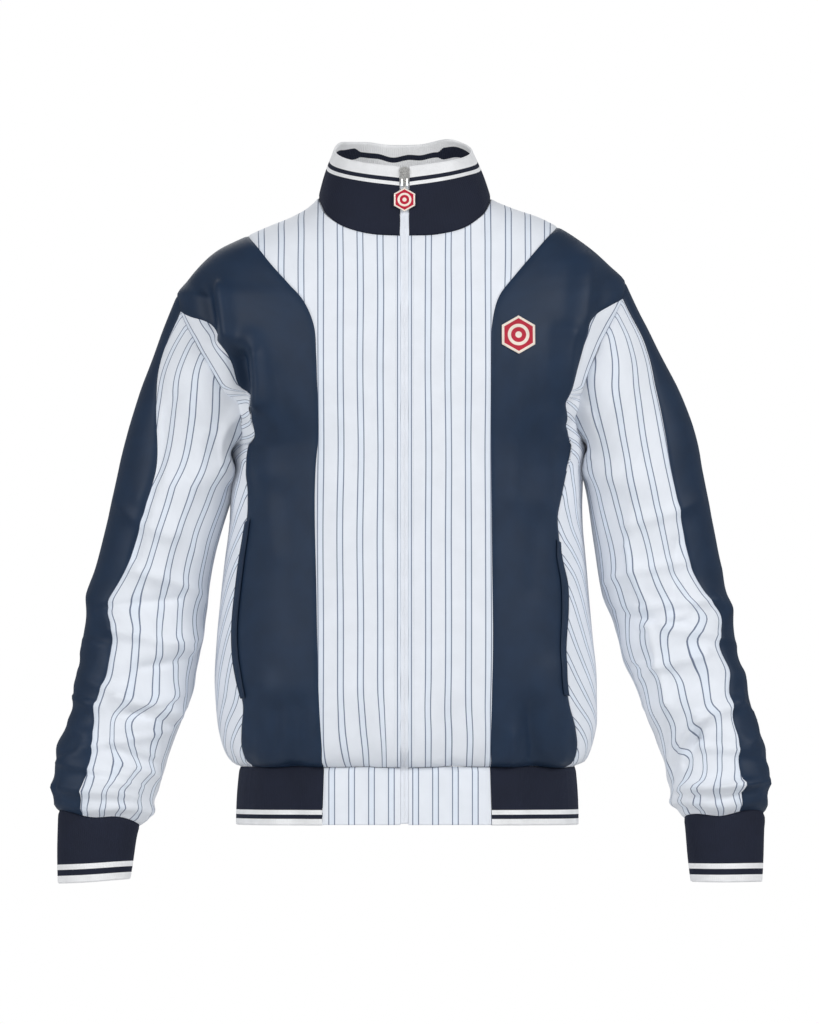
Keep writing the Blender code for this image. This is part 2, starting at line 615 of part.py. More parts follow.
def sleeve_axis(side, height):
    """The middle of the sleeve at a level."""
    table = SLEEVE_TABLE[side]
    out = smooth(table["height"], table["out"], height)
    forward = smooth(table["height"], table["forward"], height)
    return np.stack([SIDES[side] * out, -forward, height], axis=-1)


def sleeve_ring(side, around, height):
    """A point of the sleeve's tube below the cap: turn 0 is outward and 90 the front."""
    table = SLEEVE_TABLE[side]
    height = np.clip(height, table["height"][0], table["height"][-1])
    step = 6.0
    low = np.clip(height - step, table["height"][0], None)
    high = np.clip(height + step, None, table["height"][-1])
    down = unit(sleeve_axis(side, low) - sleeve_axis(side, high))
    outward = np.zeros_like(down)
    outward[..., 0] = SIDES[side]
    outward = unit(outward - np.sum(outward * down, axis=-1, keepdims=True) * down)
    forward = np.cross(down, outward) * SIDES[side]
    turn = np.radians(around)
    cos, sin = np.cos(turn), np.sin(turn)
    power = 2.0 / SLEEVE_SQUARE
    wide = np.sign(cos) * np.abs(cos) ** power * smooth(table["height"], table["half_width"], height)
    deep = np.sign(sin) * np.abs(sin) ** power * smooth(table["height"], table["half_depth"], height)
    return sleeve_axis(side, height) + wide[..., None] * outward + deep[..., None] * forward, down


def sleeve_surface(side, start_turn, around, down_share):
    """A point of the sleeve: its turn at the armhole, its own turn and its way down."""
    table = SLEEVE_TABLE[side]
    top, foot = table["height"][-1], table["height"][0]
    height = top + (foot - top) * np.clip(down_share - 1.0, 0.0, 1.0)
    lower, down = sleeve_ring(side, around, height)
    start = fold_torso(armhole(side, start_turn))
    reach = np.linalg.norm(lower - start, axis=-1, keepdims=True)
    turn = np.radians(start_turn)
    away = np.stack(
        [SIDES[side] * (0.80 - 0.43 * np.cos(turn)), -0.32 * np.sin(turn), np.full_like(turn, -0.88)],
        axis=-1,
    )
    t = np.clip(down_share, 0.0, 1.0)[..., None]
    t2, t3 = t * t, t * t * t
    cap = (2 * t3 - 3 * t2 + 1) * start + (3 * t2 - 2 * t3) * lower
    cap = cap + (t3 - 2 * t2 + t) * unit(away) * reach + (t3 - t2) * down * reach
    points = np.where((down_share < 1.0)[..., None], cap, lower)
    return points + sleeve_fold(side, around, down_share, points)


def sleeve_fold(side, around, down_share, points):
    """How far the sleeve's buckles move its points out from its middle."""
    rise = np.zeros_like(down_share)
    for turn, height, reach, width, slant, lift in SLEEVE_FOLDS[side]:
        off = (around - turn + 180.0) % 360.0 - 180.0
        level = points[..., 2] - height + slant * off / 90.0
        rise += lift * np.exp(-((off / reach) ** 2) - (level / width) ** 2)
    fade = np.clip(down_share / 0.5, 0.0, 1.0) * np.clip((2.0 - down_share) / 0.06, 0.0, 1.0)
    middle = sleeve_axis(side, np.minimum(points[..., 2], SLEEVE_TABLE[side]["height"][-1]))
    middle[..., 2] = points[..., 2]
    return (rise * fade)[..., None] * unit(points - middle)


def sleeve_pieces():
    grids = {}
    cap, arm = np.linspace(0.0, 1.0, CAP_ROWS + 1), np.linspace(1.0, 2.0, ARM_ROWS + 1)
    down = joined(cap, arm)[:, None]
    for side in SIDES:
        table = STRIP_TABLE[side]
        front = smooth(table["down"], table["front_seam"], down)
        back = smooth(table["down"], table["back_seam"], down)
        share = np.linspace(0.0, 1.0, OUTER_COLUMNS + 1)
        around = back + (front - back) * share
        start = JUNCTION * (2.0 * share - 1.0) + 0.0 * around
        grids[f"sleeve_outer_{side}"] = sleeve_surface(side, start, around, down + 0.0 * around)
        share = np.linspace(0.0, 1.0, UNDER_COLUMNS + 1)
        around = front + (back + 360.0 - front) * share
        half = armhole_turns(side, UNDER_COLUMNS // 2)
        start = joined(half, 360.0 - half[::-1]) + 0.0 * around
        grids[f"sleeve_under_{side}"] = sleeve_surface(side, start, around, down + 0.0 * around)
    return grids


def cuff_pieces(grids):
    """A cuff from each sleeve's end ring down to its opening."""
    cuffs = {}
    for side, sign in SIDES.items():
        top = joined(grids[f"sleeve_outer_{side}"][-1], grids[f"sleeve_under_{side}"][-1])[:-1]
        turns = np.concatenate([
            np.linspace(STRIP[side][-1][2], STRIP[side][-1][1], OUTER_COLUMNS + 1),
            np.linspace(STRIP[side][-1][1], STRIP[side][-1][2] + 360.0, UNDER_COLUMNS + 1)[1:-1],
        ])
        turn = np.radians(turns)
        foot = np.stack([
            sign * (CUFF_OUT[side] + CUFF_HALF_WIDTH * np.cos(turn)),
            -CUFF_FORWARD - CUFF_HALF_DEPTH * np.sin(turn),
            CUFF_BOTTOM[side] - 5.0 * np.sin(turn) + 1.5 * np.cos(turn),
        ], axis=-1)
        share = np.linspace(0.0, 1.0, CUFF_ROWS + 1)[:, None, None]
        cuffs[f"cuff_{side}"] = top[None] * (1 - share) + foot[None] * share
    return cuffs


def band_piece(top):
    """A stretch of the waistband hanging from a stretch of the hem."""
    flare = np.where(top[:, 0] < 0.0, BAND_FLARE["right"], BAND_FLARE["left"])
    foot = top * np.stack([flare, np.full_like(flare, 1.02), np.ones_like(flare)], axis=-1)
    foot[:, 2] = BAND_BOTTOM
    share = np.linspace(0.0, 1.0, BAND_ROWS + 1)[:, None, None]
    return top[None] * (1 - share) + foot[None] * share


def band_pieces(grids):
    bands = {}
    for side in SIDES:
        bands[f"waistband_front_{side}"] = band_piece(grids[f"front_centre_{side}"][0])
    quarters = ["front_side_{}", "side_front_{}", "side_back_{}", "back_side_{}"]
    right = [grids[name.format("right")][0] for name in quarters]
    left = [grids[name.format("left")][0] for name in quarters]
    around = [right[0], right[1], right[2][::-1], right[3][::-1], grids["back_centre"][0]]
    around += [left[3], left[2], left[1][::-1], left[0][::-1]]
    bands["waistband_rib"] = band_piece(joined(*around))
    return bands


def rim_line(side, face, count):
    """The collar's rim from the centre to the side, over the front or the back."""
    start, depth = (0.0, RIM_FRONT_DEPTH) if face < 0.0 else (180.0, RIM_BACK_DEPTH)
    if face < 0.0:
        start = math.degrees(math.asin(OPENING_HALF / RIM_HALF_WIDTH[side]))
    turns = np.linspace(start, 90.0, DENSE)
    turn = np.radians(turns)
    height = smooth(RIM_TABLE[side]["turn"], RIM_TABLE[side]["height"], turns)
    x = SIDES[side] * RIM_HALF_WIDTH[side] * np.sin(turn)
    return spread(np.stack([x, -depth * np.cos(turn), height], axis=-1), count)


def collar_piece(grids):
    half = BACK_NECK_SPANS // 2
    neck = joined(
        grids["front_centre_left"][-1][: NECK_SPANS + 1],
        grids["back_centre"][-1][::-1][SHOULDER_SPANS : SHOULDER_SPANS + BACK_NECK_SPANS + 1],
        grids["front_centre_right"][-1][: NECK_SPANS + 1][::-1],
    )
    rim = joined(
        rim_line("left", FRONT, NECK_SPANS), rim_line("left", BACK, half)[::-1],
        rim_line("right", BACK, half), rim_line("right", FRONT, NECK_SPANS)[::-1],
    )
    share = np.linspace(0.0, 1.0, COLLAR_ROWS + 1)[:, None, None]
    return neck[None] * (1 - share) + rim[None] * share


def is_pointed(grid):
    """True where a piece's top row has closed to one point."""
    return bool(np.ptp(grid[-1], axis=0).max() < 1e-6)


def grid_normals(grid, wrap):
    """Unit normals of a grid, from its neighbours' differences."""
    if wrap:
        padded = np.concatenate([grid[:, -1:], grid, grid[:, :1]], axis=1)
        across = np.gradient(padded, axis=1)[:, 1:-1]
    else:
        across = np.gradient(grid, axis=1)
    normals = unit(np.cross(across, np.gradient(grid, axis=0)))
    if is_pointed(grid):
        normals[-1] = unit(normals[-2].sum(axis=0))
    return normals


def middle_of(name, grid):
    """Points inside the garment, level with the grid, for telling out from in."""
    middle = grid.copy()
    if name.startswith(("sleeve", "cuff")):
        side = name.rsplit("_", 1)[1]
        level = np.clip(grid[..., 2], *SLEEVE_TABLE[side]["height"][[0, -1]])
        middle[..., :2] = sleeve_axis(side, level)[..., :2]
    else:
        middle[..., :2] = 0.0
    return middle


def face_outward(name, grid, wrap):
    """Turns the grid round where its normals would point into the garment."""
    normals = grid_normals(grid, wrap)
    if np.sum(normals * (grid - middle_of(name, grid))) < 0.0:
        grid = grid[:, ::-1]
        normals = grid_normals(grid, wrap)
    return grid, normals


def border(grid, wrap):
    """The index pairs of a grid's edge points."""
    rows, count = grid.shape[:2]
    places = [(row, k) for row in (0, rows - 1) for k in range(count)]
    if not wrap:
        places += [(row, k) for row in range(1, rows - 1) for k in (0, count - 1)]
    return places


def seam_key(point):
    return tuple(np.round(point, 2) + 0.0)


def mitre(facing):
    """The step that lies one unit inside every surface meeting at a point."""
    gram = facing @ facing.T + MITRE_EASE * np.eye(len(facing))
    way = facing.T @ np.linalg.solve(gram, np.ones(len(facing)))
    length = float(np.linalg.norm(way))
    return way / length * min(max(length, 1.0), MITRE_LIMIT)


def share_seams(grids, normals, walls, wraps):
    """The way through the wall at every point, and how far a seam draws its edge back.

    All pieces that meet at a seam point share one way there, as a mitre.
    """
    met = {}
    for name, grid in grids.items():
        for place in border(grid, wraps[name]):
            met.setdefault(seam_key(grid[place]), []).append((normals[name][place], walls[name]))
    through, reach = {}, {}
    for name, grid in grids.items():
        through[name] = normals[name] * walls[name]
        reach[name] = np.full(grid.shape[:2], HALF_SEAM_GAP)
        for place in border(grid, wraps[name]):
            meeting = met[seam_key(grid[place])]
            way = mitre(np.array([normal for normal, _ in meeting]))
            through[name][place] = way * min(thickness for _, thickness in meeting)
            reach[name][place] = HALF_SEAM_GAP * np.linalg.norm(way)
    return through, reach


def drawn_back(edge, inside, normals, reach, wrap):
    """How a seam moves an edge: along the cloth, square to the edge."""
    if wrap:
        run = np.roll(edge, -1, axis=0) - np.roll(edge, 1, axis=0)
    else:
        run = np.gradient(edge, axis=0)
    aside = unit(np.cross(normals, run))
    return reach[:, None] * aside * np.sign(dot(aside, inside - edge))


def open_seams(grid, normals, reach, wrap):
    """Draws a piece's edges back by half a seam gap."""
    moved = grid.copy()
    moved[0] += drawn_back(grid[0], grid[1], normals[0], reach[0], wrap)
    if not is_pointed(grid):
        moved[-1] += drawn_back(grid[-1], grid[-2], normals[-1], reach[-1], wrap)
    if not wrap:
        for edge, inside in ((0, 1), (-1, -2)):
            moved[:, edge] += drawn_back(
                grid[:, edge], grid[:, inside], normals[:, edge], reach[:, edge], False
            )
    if is_pointed(grid):
        back = unit(grid[-2].mean(axis=0) - grid[-1, 0])
        moved[-1] = grid[-1] + POINT_DRAW * HALF_SEAM_GAP * back
    return moved


def rim_faces(a, b, shift, rank):
    """Two triangles closing the wall between two edge points, split the same way on
    both sides of a seam."""
    if rank[a] > rank[b]:
        return [(a, b, a + shift), (b, b + shift, a + shift)]
    return [(a, b, b + shift), (a, b + shift, a + shift)]


def wall(name, slot, outer, through, seams, wrap=False):
    """A closed wall: an outer grid, an inner grid and the edges between them."""
    rows, count = outer.shape[:2]
    points = np.concatenate([outer.reshape(-1, 3), (outer - through).reshape(-1, 3)])
    rank = seams.reshape(-1, 3) @ np.array(SPLIT_LINE)
    shift = rows * count
    faces = []
    last = count if wrap else count - 1
    for row in range(rows - 1):
        for k in range(last):
            a, b = row * count + k, row * count + (k + 1) % count
            c, d = b + count, a + count
            faces.append((a, b, c, d))
            faces.append((d + shift, c + shift, b + shift, a + shift))
    for k in range(last):
        a, b = k, (k + 1) % count
        faces += rim_faces(b, a, shift, rank)
        top = (rows - 1) * count
        faces += rim_faces(top + a, top + b, shift, rank)
    if not wrap:
        for row in range(rows - 1):
            a, b = row * count, (row + 1) * count
            faces += rim_faces(a, b, shift, rank)
            faces += rim_faces(b + count - 1, a + count - 1, shift, rank)
    if is_pointed(outer):
        top = (rows - 1) * count
        points, faces = merge_rows(points, faces, [(top, count), (top + shift, count)])
    return make_object(name, slot, points, faces)


def merge_rows(points, faces, runs):
    """Makes each run of points one point and drops the faces that close up."""
    kept = np.arange(len(points))
    for start, count in runs:
        kept[start : start + count] = start
    used = sorted(set(kept.tolist()))
    number = {old: new for new, old in enumerate(used)}
    merged = []
    for face in faces:
        turned = list(dict.fromkeys(number[kept[k]] for k in face))
        if len(turned) > 2:
            merged.append(tuple(turned))
    return np.asarray(points)[used], merged


def slot_of(name):
    if name.startswith(("front_side", "back_side", "sleeve_outer")):
        return "navy_cloth"
    if name.startswith(("cuff", "collar", "waistband_rib")):
        return "navy_rib"
    return "white_stripe_cloth"


def build_cloth():
    grids = torso_pieces()
    grids.update(sleeve_pieces())
    grids.update(cuff_pieces(grids))
    grids.update(band_pieces(grids))
    grids["collar"] = collar_piece(grids)
    wraps = {name: name.startswith("cuff") for name in grids}
    normals = {}
    for name in grids:
        grids[name], normals[name] = face_outward(name, grids[name], wraps[name])
    ribbed = ("cuff", "collar", "waistband")
    walls = {name: RIB_WALL if name.startswith(ribbed) else CLOTH_WALL for name in grids}
    through, reach = share_seams(grids, normals, walls, wraps)
    for name, grid in grids.items():
        outer = open_seams(grid, normals[name], reach[name], wraps[name])
        wall(name, slot_of(name), outer, through[name], grid, wraps[name])
    return grids


def skin_at(x, height):
    """The front's outer surface and its outward direction at places seen from the front."""
    points = on_torso(x, height, FRONT)
    return fold_torso(points), unit(torso_slope(points))


def build_welts(grids):
    """A raised welt outside each pocket opening, made from the side front's own points."""
    for side in SIDES:
        grid = grids[f"front_side_{side}"]
        if abs(grid[0, 0, 0]) > abs(grid[0, -1, 0]):
            grid = grid[:, ::-1]
        high, low = WELT_ENDS[side]
        rows = (grid[:, -1, 2] < high + WELT_REACH) & (grid[:, -1, 2] > low - WELT_REACH)
        shares = np.linspace(WELT_FROM, WELT_TO, 3)[:, None]
        inner, outer = grid[rows, -2], grid[rows, -1]
        points = inner[:, None] * (1.0 - shares) + outer[:, None] * shares
        points, normals = face_outward("pocket_welt", points, False)
        lifted = points + (CLOTH_WALL + WELT_GAP) * normals
        wall(f"pocket_welt_{side}", "navy_cloth", lifted, CLOTH_WALL * normals, lifted)


def polar_pad(name, slot, place, sides, wall_height, rings):
    """A many-sided pad: place(x, v) gives a point of its seat and the way out."""
    points, lifts = [], []
    corners = sides * 2
    for ring in range(rings + 1):
        share = ring / rings
        for corner in range(corners if ring else 1):
            turn = math.pi / 2 + corner * 2 * math.pi / corners
            reach = share * (1.0 if corner % 2 == 0 else math.cos(math.pi / sides))
            seat, out = place(reach * math.cos(turn), reach * math.sin(turn))
            points.append(seat)
            lifts.append(out)
    points, lifts = np.array(points), np.array(lifts)
    count = len(points)
    faces = []
    for ring in range(rings):
        inner = 1 + (ring - 1) * corners
        outer = 1 + ring * corners
        for k in range(corners):
            n = (k + 1) % corners
            if ring == 0:
                faces.append((0, outer + k, outer + n))
            else:
                faces.append((inner + k, outer + k, outer + n, inner + n))
    top = [tuple(i + count for i in face) for face in faces]
    foot = [tuple(reversed(face)) for face in faces]
    edge = 1 + (rings - 1) * corners
    rim = [
        (edge + k, edge + (k + 1) % corners, edge + (k + 1) % corners + count, edge + k + count)
        for k in range(corners)
    ]
    vertices = np.concatenate([points, points + wall_height * lifts])
    return make_object(name, slot, vertices, foot + top + rim)


def build_badge():
    def place(x, z):
        where = (BADGE_ACROSS + BADGE_RADIUS * x, BADGE_HEIGHT + BADGE_RADIUS * z)
        point, out = skin_at(np.array([where[0]]), np.array([where[1]]))
        return point[0] + SEAT_GAP * out[0], out[0]

    polar_pad("chest_badge", "badge_cloth", place, BADGE_SIDES, BADGE_WALL, BADGE_RINGS)


def collar_front(grids, height):
    """A point of the collar's front at a level, the way up along it and the way out."""
    edge = grids["collar"][:, 0] * np.array([0.0, 1.0, 1.0])
    edge = edge[np.argsort(edge[:, 2])]
    share = (height - edge[0, 2]) / (edge[-1, 2] - edge[0, 2])
    upward = unit(edge[-1] - edge[0])
    return edge[0] * (1 - share) + edge[-1] * share, upward, np.array([0.0, -upward[2], upward[1]])


def opening_line(grids):
    """The middle of the front from the waistband's foot to the zip's top: outer points."""
    edges = []
    for name in ("waistband_front_left", "front_centre_left"):
        grid = grids[name]
        edge = grid[:, np.argmin(np.abs(grid[0, :, 0]))]
        edges.append(edge[np.argsort(edge[:, 2])])
    top, _, _ = collar_front(grids, ZIP_TOP)
    edges.append(np.array([edges[-1][-1], top]))
    return joined(*edges) * np.array([0.0, 1.0, 1.0])


def build_zip_chain(grids):
    """The closed zip: a raised chain in the opening on a tape behind its edges."""
    line = opening_line(grids)
    line[0, 2] += ZIP_FOOT_INSET
    steps = unit(np.diff(line, axis=0))
    upward = unit(np.concatenate([steps[:1], steps[:-1] + steps[1:], steps[-1:]]))
    out = np.stack([np.zeros(len(line)), -upward[:, 2], upward[:, 1]], axis=-1)
    on_body = (line[:, 2] > HEM_HEIGHT + 1.0) & (line[:, 2] < NECK_FRONT[0][1] - 1.0)
    tape = np.where(on_body, CLOTH_WALL, RIB_WALL) + ZIP_TAPE_GAP
    profile = [(-1, "tape", 1), (-1, "tape", 0), (-2, "tape", 0), (-2, "ridge", 0),
               (2, "ridge", 0), (2, "tape", 0), (1, "tape", 0), (1, "tape", 1)]
    points = []
    for spot, direction, depth in zip(line, out, tape):
        for place, kind, back in profile:
            x = math.copysign(ZIP_TAPE_HALF if abs(place) == 1 else ZIP_RIDGE_HALF, place)
            lean = ZIP_TAPE_LEAN if abs(place) == 1 else 0.0
            sink = ZIP_SINK if kind == "ridge" else depth + back * ZIP_TAPE + lean
            points.append(spot + np.array([x, 0.0, 0.0]) - sink * direction)
    count = len(profile)
    faces = []
    for row in range(len(line) - 1):
        for k in range(count):
            a, b = row * count + k, row * count + (k + 1) % count
            faces.append((a, b, b + count, a + count))
    last = (len(line) - 1) * count
    faces.append(tuple(range(count))[::-1])
    faces.append(tuple(last + k for k in range(count)))
    make_object("zip_chain", "zip_tape", points, faces)


def box_points(x, along, out):
    """The eight corners of a block given by its spans across, along and outward."""
    return [(a, b, c) for c in out for b in along for a in x]


BLOCK_FACES = [(0, 2, 3, 1), (4, 5, 7, 6), (0, 1, 5, 4), (2, 6, 7, 3), (0, 4, 6, 2), (1, 3, 7, 5)]


def add_union(target, blocks, frame):
    """Joins blocks, given in a local frame, onto an object by Boolean union."""
    origin, upward, outward = frame
    for points, faces in blocks:
        world = [origin + np.array([p[0], 0.0, 0.0]) + p[1] * upward + p[2] * outward for p in points]
        tool = make_object(target.name + "_block", target.material_slots[0].name, world, faces)
        modifier = target.modifiers.new("join", "BOOLEAN")
        modifier.operation = "UNION"
        modifier.object = tool
        tool.hide_render = True
        tool.display_type = "WIRE"


def tapered_plate(low, high, thickness_from, thickness_to):
    """A slider's plate: wide round shoulders above, narrower below."""
    outline = []
    for k in range(SHOULDER_STEPS + 1):
        turn = math.pi * k / SHOULDER_STEPS
        rise = SHOULDER_RISE * (math.sin(turn) - 1.0)
        outline.append((SLIDER_HALF_TOP * math.cos(turn), high + rise))
    half, cut = SLIDER_HALF_FOOT, FOOT_CUT
    outline += [(-half, low + cut), (cut - half, low), (half - cut, low), (half, low + cut)]
    count = len(outline)
    points = [(x, v, w) for w in (thickness_from, thickness_to) for x, v in outline]
    faces = [tuple(range(count))[::-1], tuple(range(count, 2 * count))]
    faces += [(k, (k + 1) % count, (k + 1) % count + count, k + count) for k in range(count)]
    return points, faces


def build_slider(grids):
    """The slider: two plates on a post round the chain, and a bail for the pull."""
    spot, upward, outward = collar_front(grids, SLIDER_MIDDLE)
    frame = (spot, upward, outward)
    half = SLIDER_LENGTH / 2
    front = SEAT_GAP
    behind = -(RIB_WALL + ZIP_TAPE_GAP + ZIP_TAPE + ZIP_TAPE_LEAN + SEAT_GAP)
    points, faces = tapered_plate(-half, half, front, front + SLIDER_PLATE)
    world = [spot + np.array([p[0], 0.0, 0.0]) + p[1] * upward + p[2] * outward for p in points]
    slider = make_object("zip_slider", "silver_metal", world, faces)
    post = (half - POST_LENGTH - POST_INSET, half - POST_INSET)
    plate = front + SLIDER_PLATE
    bail = (plate - WELD, plate + BAIL_CLEAR + BAIL_BAR)
    across = (-BAIL_HALF, BAIL_HALF)
    spans = [
        ((-POST_HALF, POST_HALF), post, (behind - WELD, front + WELD)),
        (across, (BAIL_FROM - BAIL_BAR, BAIL_FROM), bail),
        (across, (BAIL_TO, BAIL_TO + BAIL_BAR), bail),
        (across, (BAIL_FROM - WELD, BAIL_TO + WELD), (plate + BAIL_CLEAR, bail[1] + BAIL_RAISED)),
    ]
    blocks = [tapered_plate(BACK_PLATE_SHORTER - half, half, behind - SLIDER_PLATE, behind)]
    blocks += [(box_points(*span), BLOCK_FACES) for span in spans]
    add_union(slider, blocks, frame)
    return frame, plate


def wire_loop(name, pivot, upward, outward):
    """A closed rectangular wire loop with round corners, hung from its top bar."""
    middle_line = []
    top, foot = -LINK_CORNER, LINK_CORNER - LINK_LENGTH
    for sign, v, start in ((1, top, 0), (-1, top, 90), (-1, foot, 180), (1, foot, 270)):
        for k in range(LINK_STEPS):
            turn = math.radians(start + 90 * k / (LINK_STEPS - 1))
            x = sign * (LINK_HALF_WIDTH - LINK_CORNER) + LINK_CORNER * math.cos(turn)
            middle_line.append((x, v + LINK_CORNER * math.sin(turn)))
    sides = WIRE_STEPS
    count = len(middle_line)
    points = []
    for k, (x, v) in enumerate(middle_line):
        before, after = middle_line[k - 1], middle_line[(k + 1) % count]
        tangent = unit([after[0] - before[0], after[1] - before[1]])
        aside = np.array([tangent[1], -tangent[0]])
        for s in range(sides):
            turn = 2 * math.pi * s / sides
            x2 = x + aside[0] * WIRE_RADIUS * math.cos(turn)
            v2 = v + aside[1] * WIRE_RADIUS * math.cos(turn)
            out = WIRE_RADIUS * math.sin(turn)
            points.append(np.array([x2, 0.0, 0.0]) + v2 * upward + out * outward)
    faces = []
    for k in range(count):
        for s in range(sides):
            a, b = k * sides + s, k * sides + (s + 1) % sides
            c, d = ((k + 1) % count) * sides + (s + 1) % sides, ((k + 1) % count) * sides + s
            faces.append((d, c, b, a))
    return make_object(name, "silver_metal", points, faces, pivot)


def build_pull(frame, plate):
    """The wire link in the bail and the tag on the link; each turns about X."""
    spot, upward, outward = frame
    pivot = spot + PIVOT_ALONG * upward + (plate + PIVOT_OUT) * outward
    wire_loop("pull_link", pivot, upward, outward)
    hinge = pivot - LINK_LENGTH * upward

    def place(x, v):
        point = np.array([TAG_RADIUS * x, 0.0, 0.0]) + (TAG_RADIUS * (v - 1.0) - TAG_DROP) * upward
        return point - 0.5 * TAG_WALL * outward, outward

    tag = polar_pad("pull_tag", "red_enamel", place, BADGE_SIDES, TAG_WALL, 1)
    tag.location = [value * MM for value in hinge]
    add_union(tag, [eye_ring()], (hinge, upward, outward))


def eye_ring():
    """The tag's eye: a ring round the link's lower bar."""
    points = []
    for x in (-EYE_HALF_WIDTH, EYE_HALF_WIDTH):
        for radius in (EYE_INNER, EYE_OUTER):
            for k in range(EYE_STEPS):
                turn = 2 * math.pi * k / EYE_STEPS
                points.append((x, radius * math.cos(turn), radius * math.sin(turn)))
    faces = []
    for k in range(EYE_STEPS):
        n = (k + 1) % EYE_STEPS
        faces.append((k, n, 2 * EYE_STEPS + n, 2 * EYE_STEPS + k))
        faces.append((EYE_STEPS + k, 3 * EYE_STEPS + k, 3 * EYE_STEPS + n, EYE_STEPS + n))
        faces.append((k, EYE_STEPS + k, EYE_STEPS + n, n))
        faces.append((2 * EYE_STEPS + k, 2 * EYE_STEPS + n, 3 * EYE_STEPS + n, 3 * EYE_STEPS + k))
    return points, faces


remove_everything()
cloth_grids = build_cloth()
build_welts(cloth_grids)
build_badge()
build_zip_chain(cloth_grids)
slider_frame, slider_plate = build_slider(cloth_grids)
build_pull(slider_frame, slider_plate)
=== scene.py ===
# %% [markdown]
# # A striped track jacket, piece by cut piece
#
# A jacket is flat pieces of cloth, sewn edge to edge and filled by a body. Here every cut piece of a
# plain frame gets a fine shell of its own, with the folds, seams, ribs and stitches that the plain
# solid leaves out. Tables are in millimetres and degrees, meshes in metres. The jacket faces -Y and the
# wearer's left is +X.

# %% Load the frame and keep its box
import math

import bmesh
import bpy
import numpy as np
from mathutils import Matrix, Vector


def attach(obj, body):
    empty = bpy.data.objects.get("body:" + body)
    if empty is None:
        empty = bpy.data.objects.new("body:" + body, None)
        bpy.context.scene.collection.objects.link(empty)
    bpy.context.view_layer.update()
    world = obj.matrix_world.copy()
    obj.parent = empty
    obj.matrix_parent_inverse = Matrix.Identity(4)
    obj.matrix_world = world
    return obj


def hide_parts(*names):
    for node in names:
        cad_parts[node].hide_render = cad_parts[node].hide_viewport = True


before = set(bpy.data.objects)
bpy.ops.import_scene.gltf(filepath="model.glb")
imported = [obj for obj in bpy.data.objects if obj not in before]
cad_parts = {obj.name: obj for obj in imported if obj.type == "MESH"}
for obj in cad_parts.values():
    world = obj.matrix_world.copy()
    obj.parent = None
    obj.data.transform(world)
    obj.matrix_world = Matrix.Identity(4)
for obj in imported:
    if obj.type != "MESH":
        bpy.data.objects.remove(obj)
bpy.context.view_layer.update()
MM = 0.001
SIDES = {"right": -1, "left": 1}
FRONT, BACK = -1, 1
print("nodes in the frame:", len(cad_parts))

# %% [markdown]
# ## The camera, the light and the floor
#
# Clothes are pictured from far away with a long lens, so that near and far parts keep one scale. Wide
# soft lamps and a white world shade the folds gently. The room that shows is paler than its light, and
# a Light Path node keeps the two apart.

# %% The camera
CAMERA_AWAY = 30
PICTURE_HEIGHT = 1.1264
SENSOR = 36
PICTURE_MIDDLE = (0.0055, -0.3454)

camera_data = bpy.data.cameras.new("studio_camera")
camera_data.sensor_width = SENSOR
camera_data.lens = SENSOR * CAMERA_AWAY / PICTURE_HEIGHT
camera_data.clip_end = 90
camera = bpy.data.objects.new("studio_camera", camera_data)
camera.location = (PICTURE_MIDDLE[0], -CAMERA_AWAY, PICTURE_MIDDLE[1])
camera.rotation_euler = (math.radians(90), 0, 0)
bpy.context.scene.collection.objects.link(camera)
bpy.context.scene.camera = camera
print("lens", round(camera_data.lens, 1), "mm")

# %% A short way to write nodes
def put(tree, kind, **values):
    """A node with its properties and inputs set; an input may be a socket or a value."""
    item = tree.nodes.new(kind)
    for key, value in values.items():
        if hasattr(item, key):
            setattr(item, key, value)
        else:
            feed(tree, item.inputs[key.replace("_", " ")], value)
    return item


def feed(tree, socket, value):
    if isinstance(value, bpy.types.NodeSocket):
        tree.links.new(value, socket)
    else:
        socket.default_value = value


print("node helpers ready")

# %% The room and its lamps
WORLD_LIGHT = 0.31
LAMPS = [
    ("key_lamp", (2.7, -2.3, 1.3), 1.8, 74),
    ("fill_lamp", (-2.6, -2.7, 1), 2.2, 72),
    ("back_lamp", (-0.4, 3.4, 1.4), 2.4, 30),
]
LAMP_TARGET = (0, 0, -0.35)


def look_at(item, target):
    """Turns a lamp so that it shines at a place."""
    way = Vector(target) - item.location
    item.rotation_euler = way.to_track_quat("-Z", "Y").to_euler()


world = bpy.data.worlds.new("studio_room")
bpy.context.scene.world = world
world.use_nodes = True
tree = world.node_tree
tree.nodes.clear()
room = put(tree, "ShaderNodeBackground", Color=(0.95, 0.97, 1, 1), Strength=WORLD_LIGHT)
backdrop = put(tree, "ShaderNodeBackground", Color=(1, 1, 1, 1), Strength=1)
choose = put(tree, "ShaderNodeMixShader")
light_path = put(tree, "ShaderNodeLightPath")
for socket, source in zip(choose.inputs, (light_path.outputs["Is Camera Ray"], *room.outputs,
                                          *backdrop.outputs)):
    feed(tree, socket, source)
put(tree, "ShaderNodeOutputWorld", Surface=choose.outputs[0])

for name, place, size, power in LAMPS:
    lamp_data = bpy.data.lights.new(name, "AREA")
    lamp_data.shape = "DISK"
    lamp_data.size = size
    lamp_data.energy = power
    lamp = bpy.data.objects.new(name, lamp_data)
    lamp.location = place
    look_at(lamp, LAMP_TARGET)
    bpy.context.scene.collection.objects.link(lamp)
bpy.context.scene.view_settings.view_transform = "Standard"
print("lamps:", len(LAMPS))

# %% The floor
FLOOR_LEVEL = -1.02
FLOOR_RADIUS = 1.55

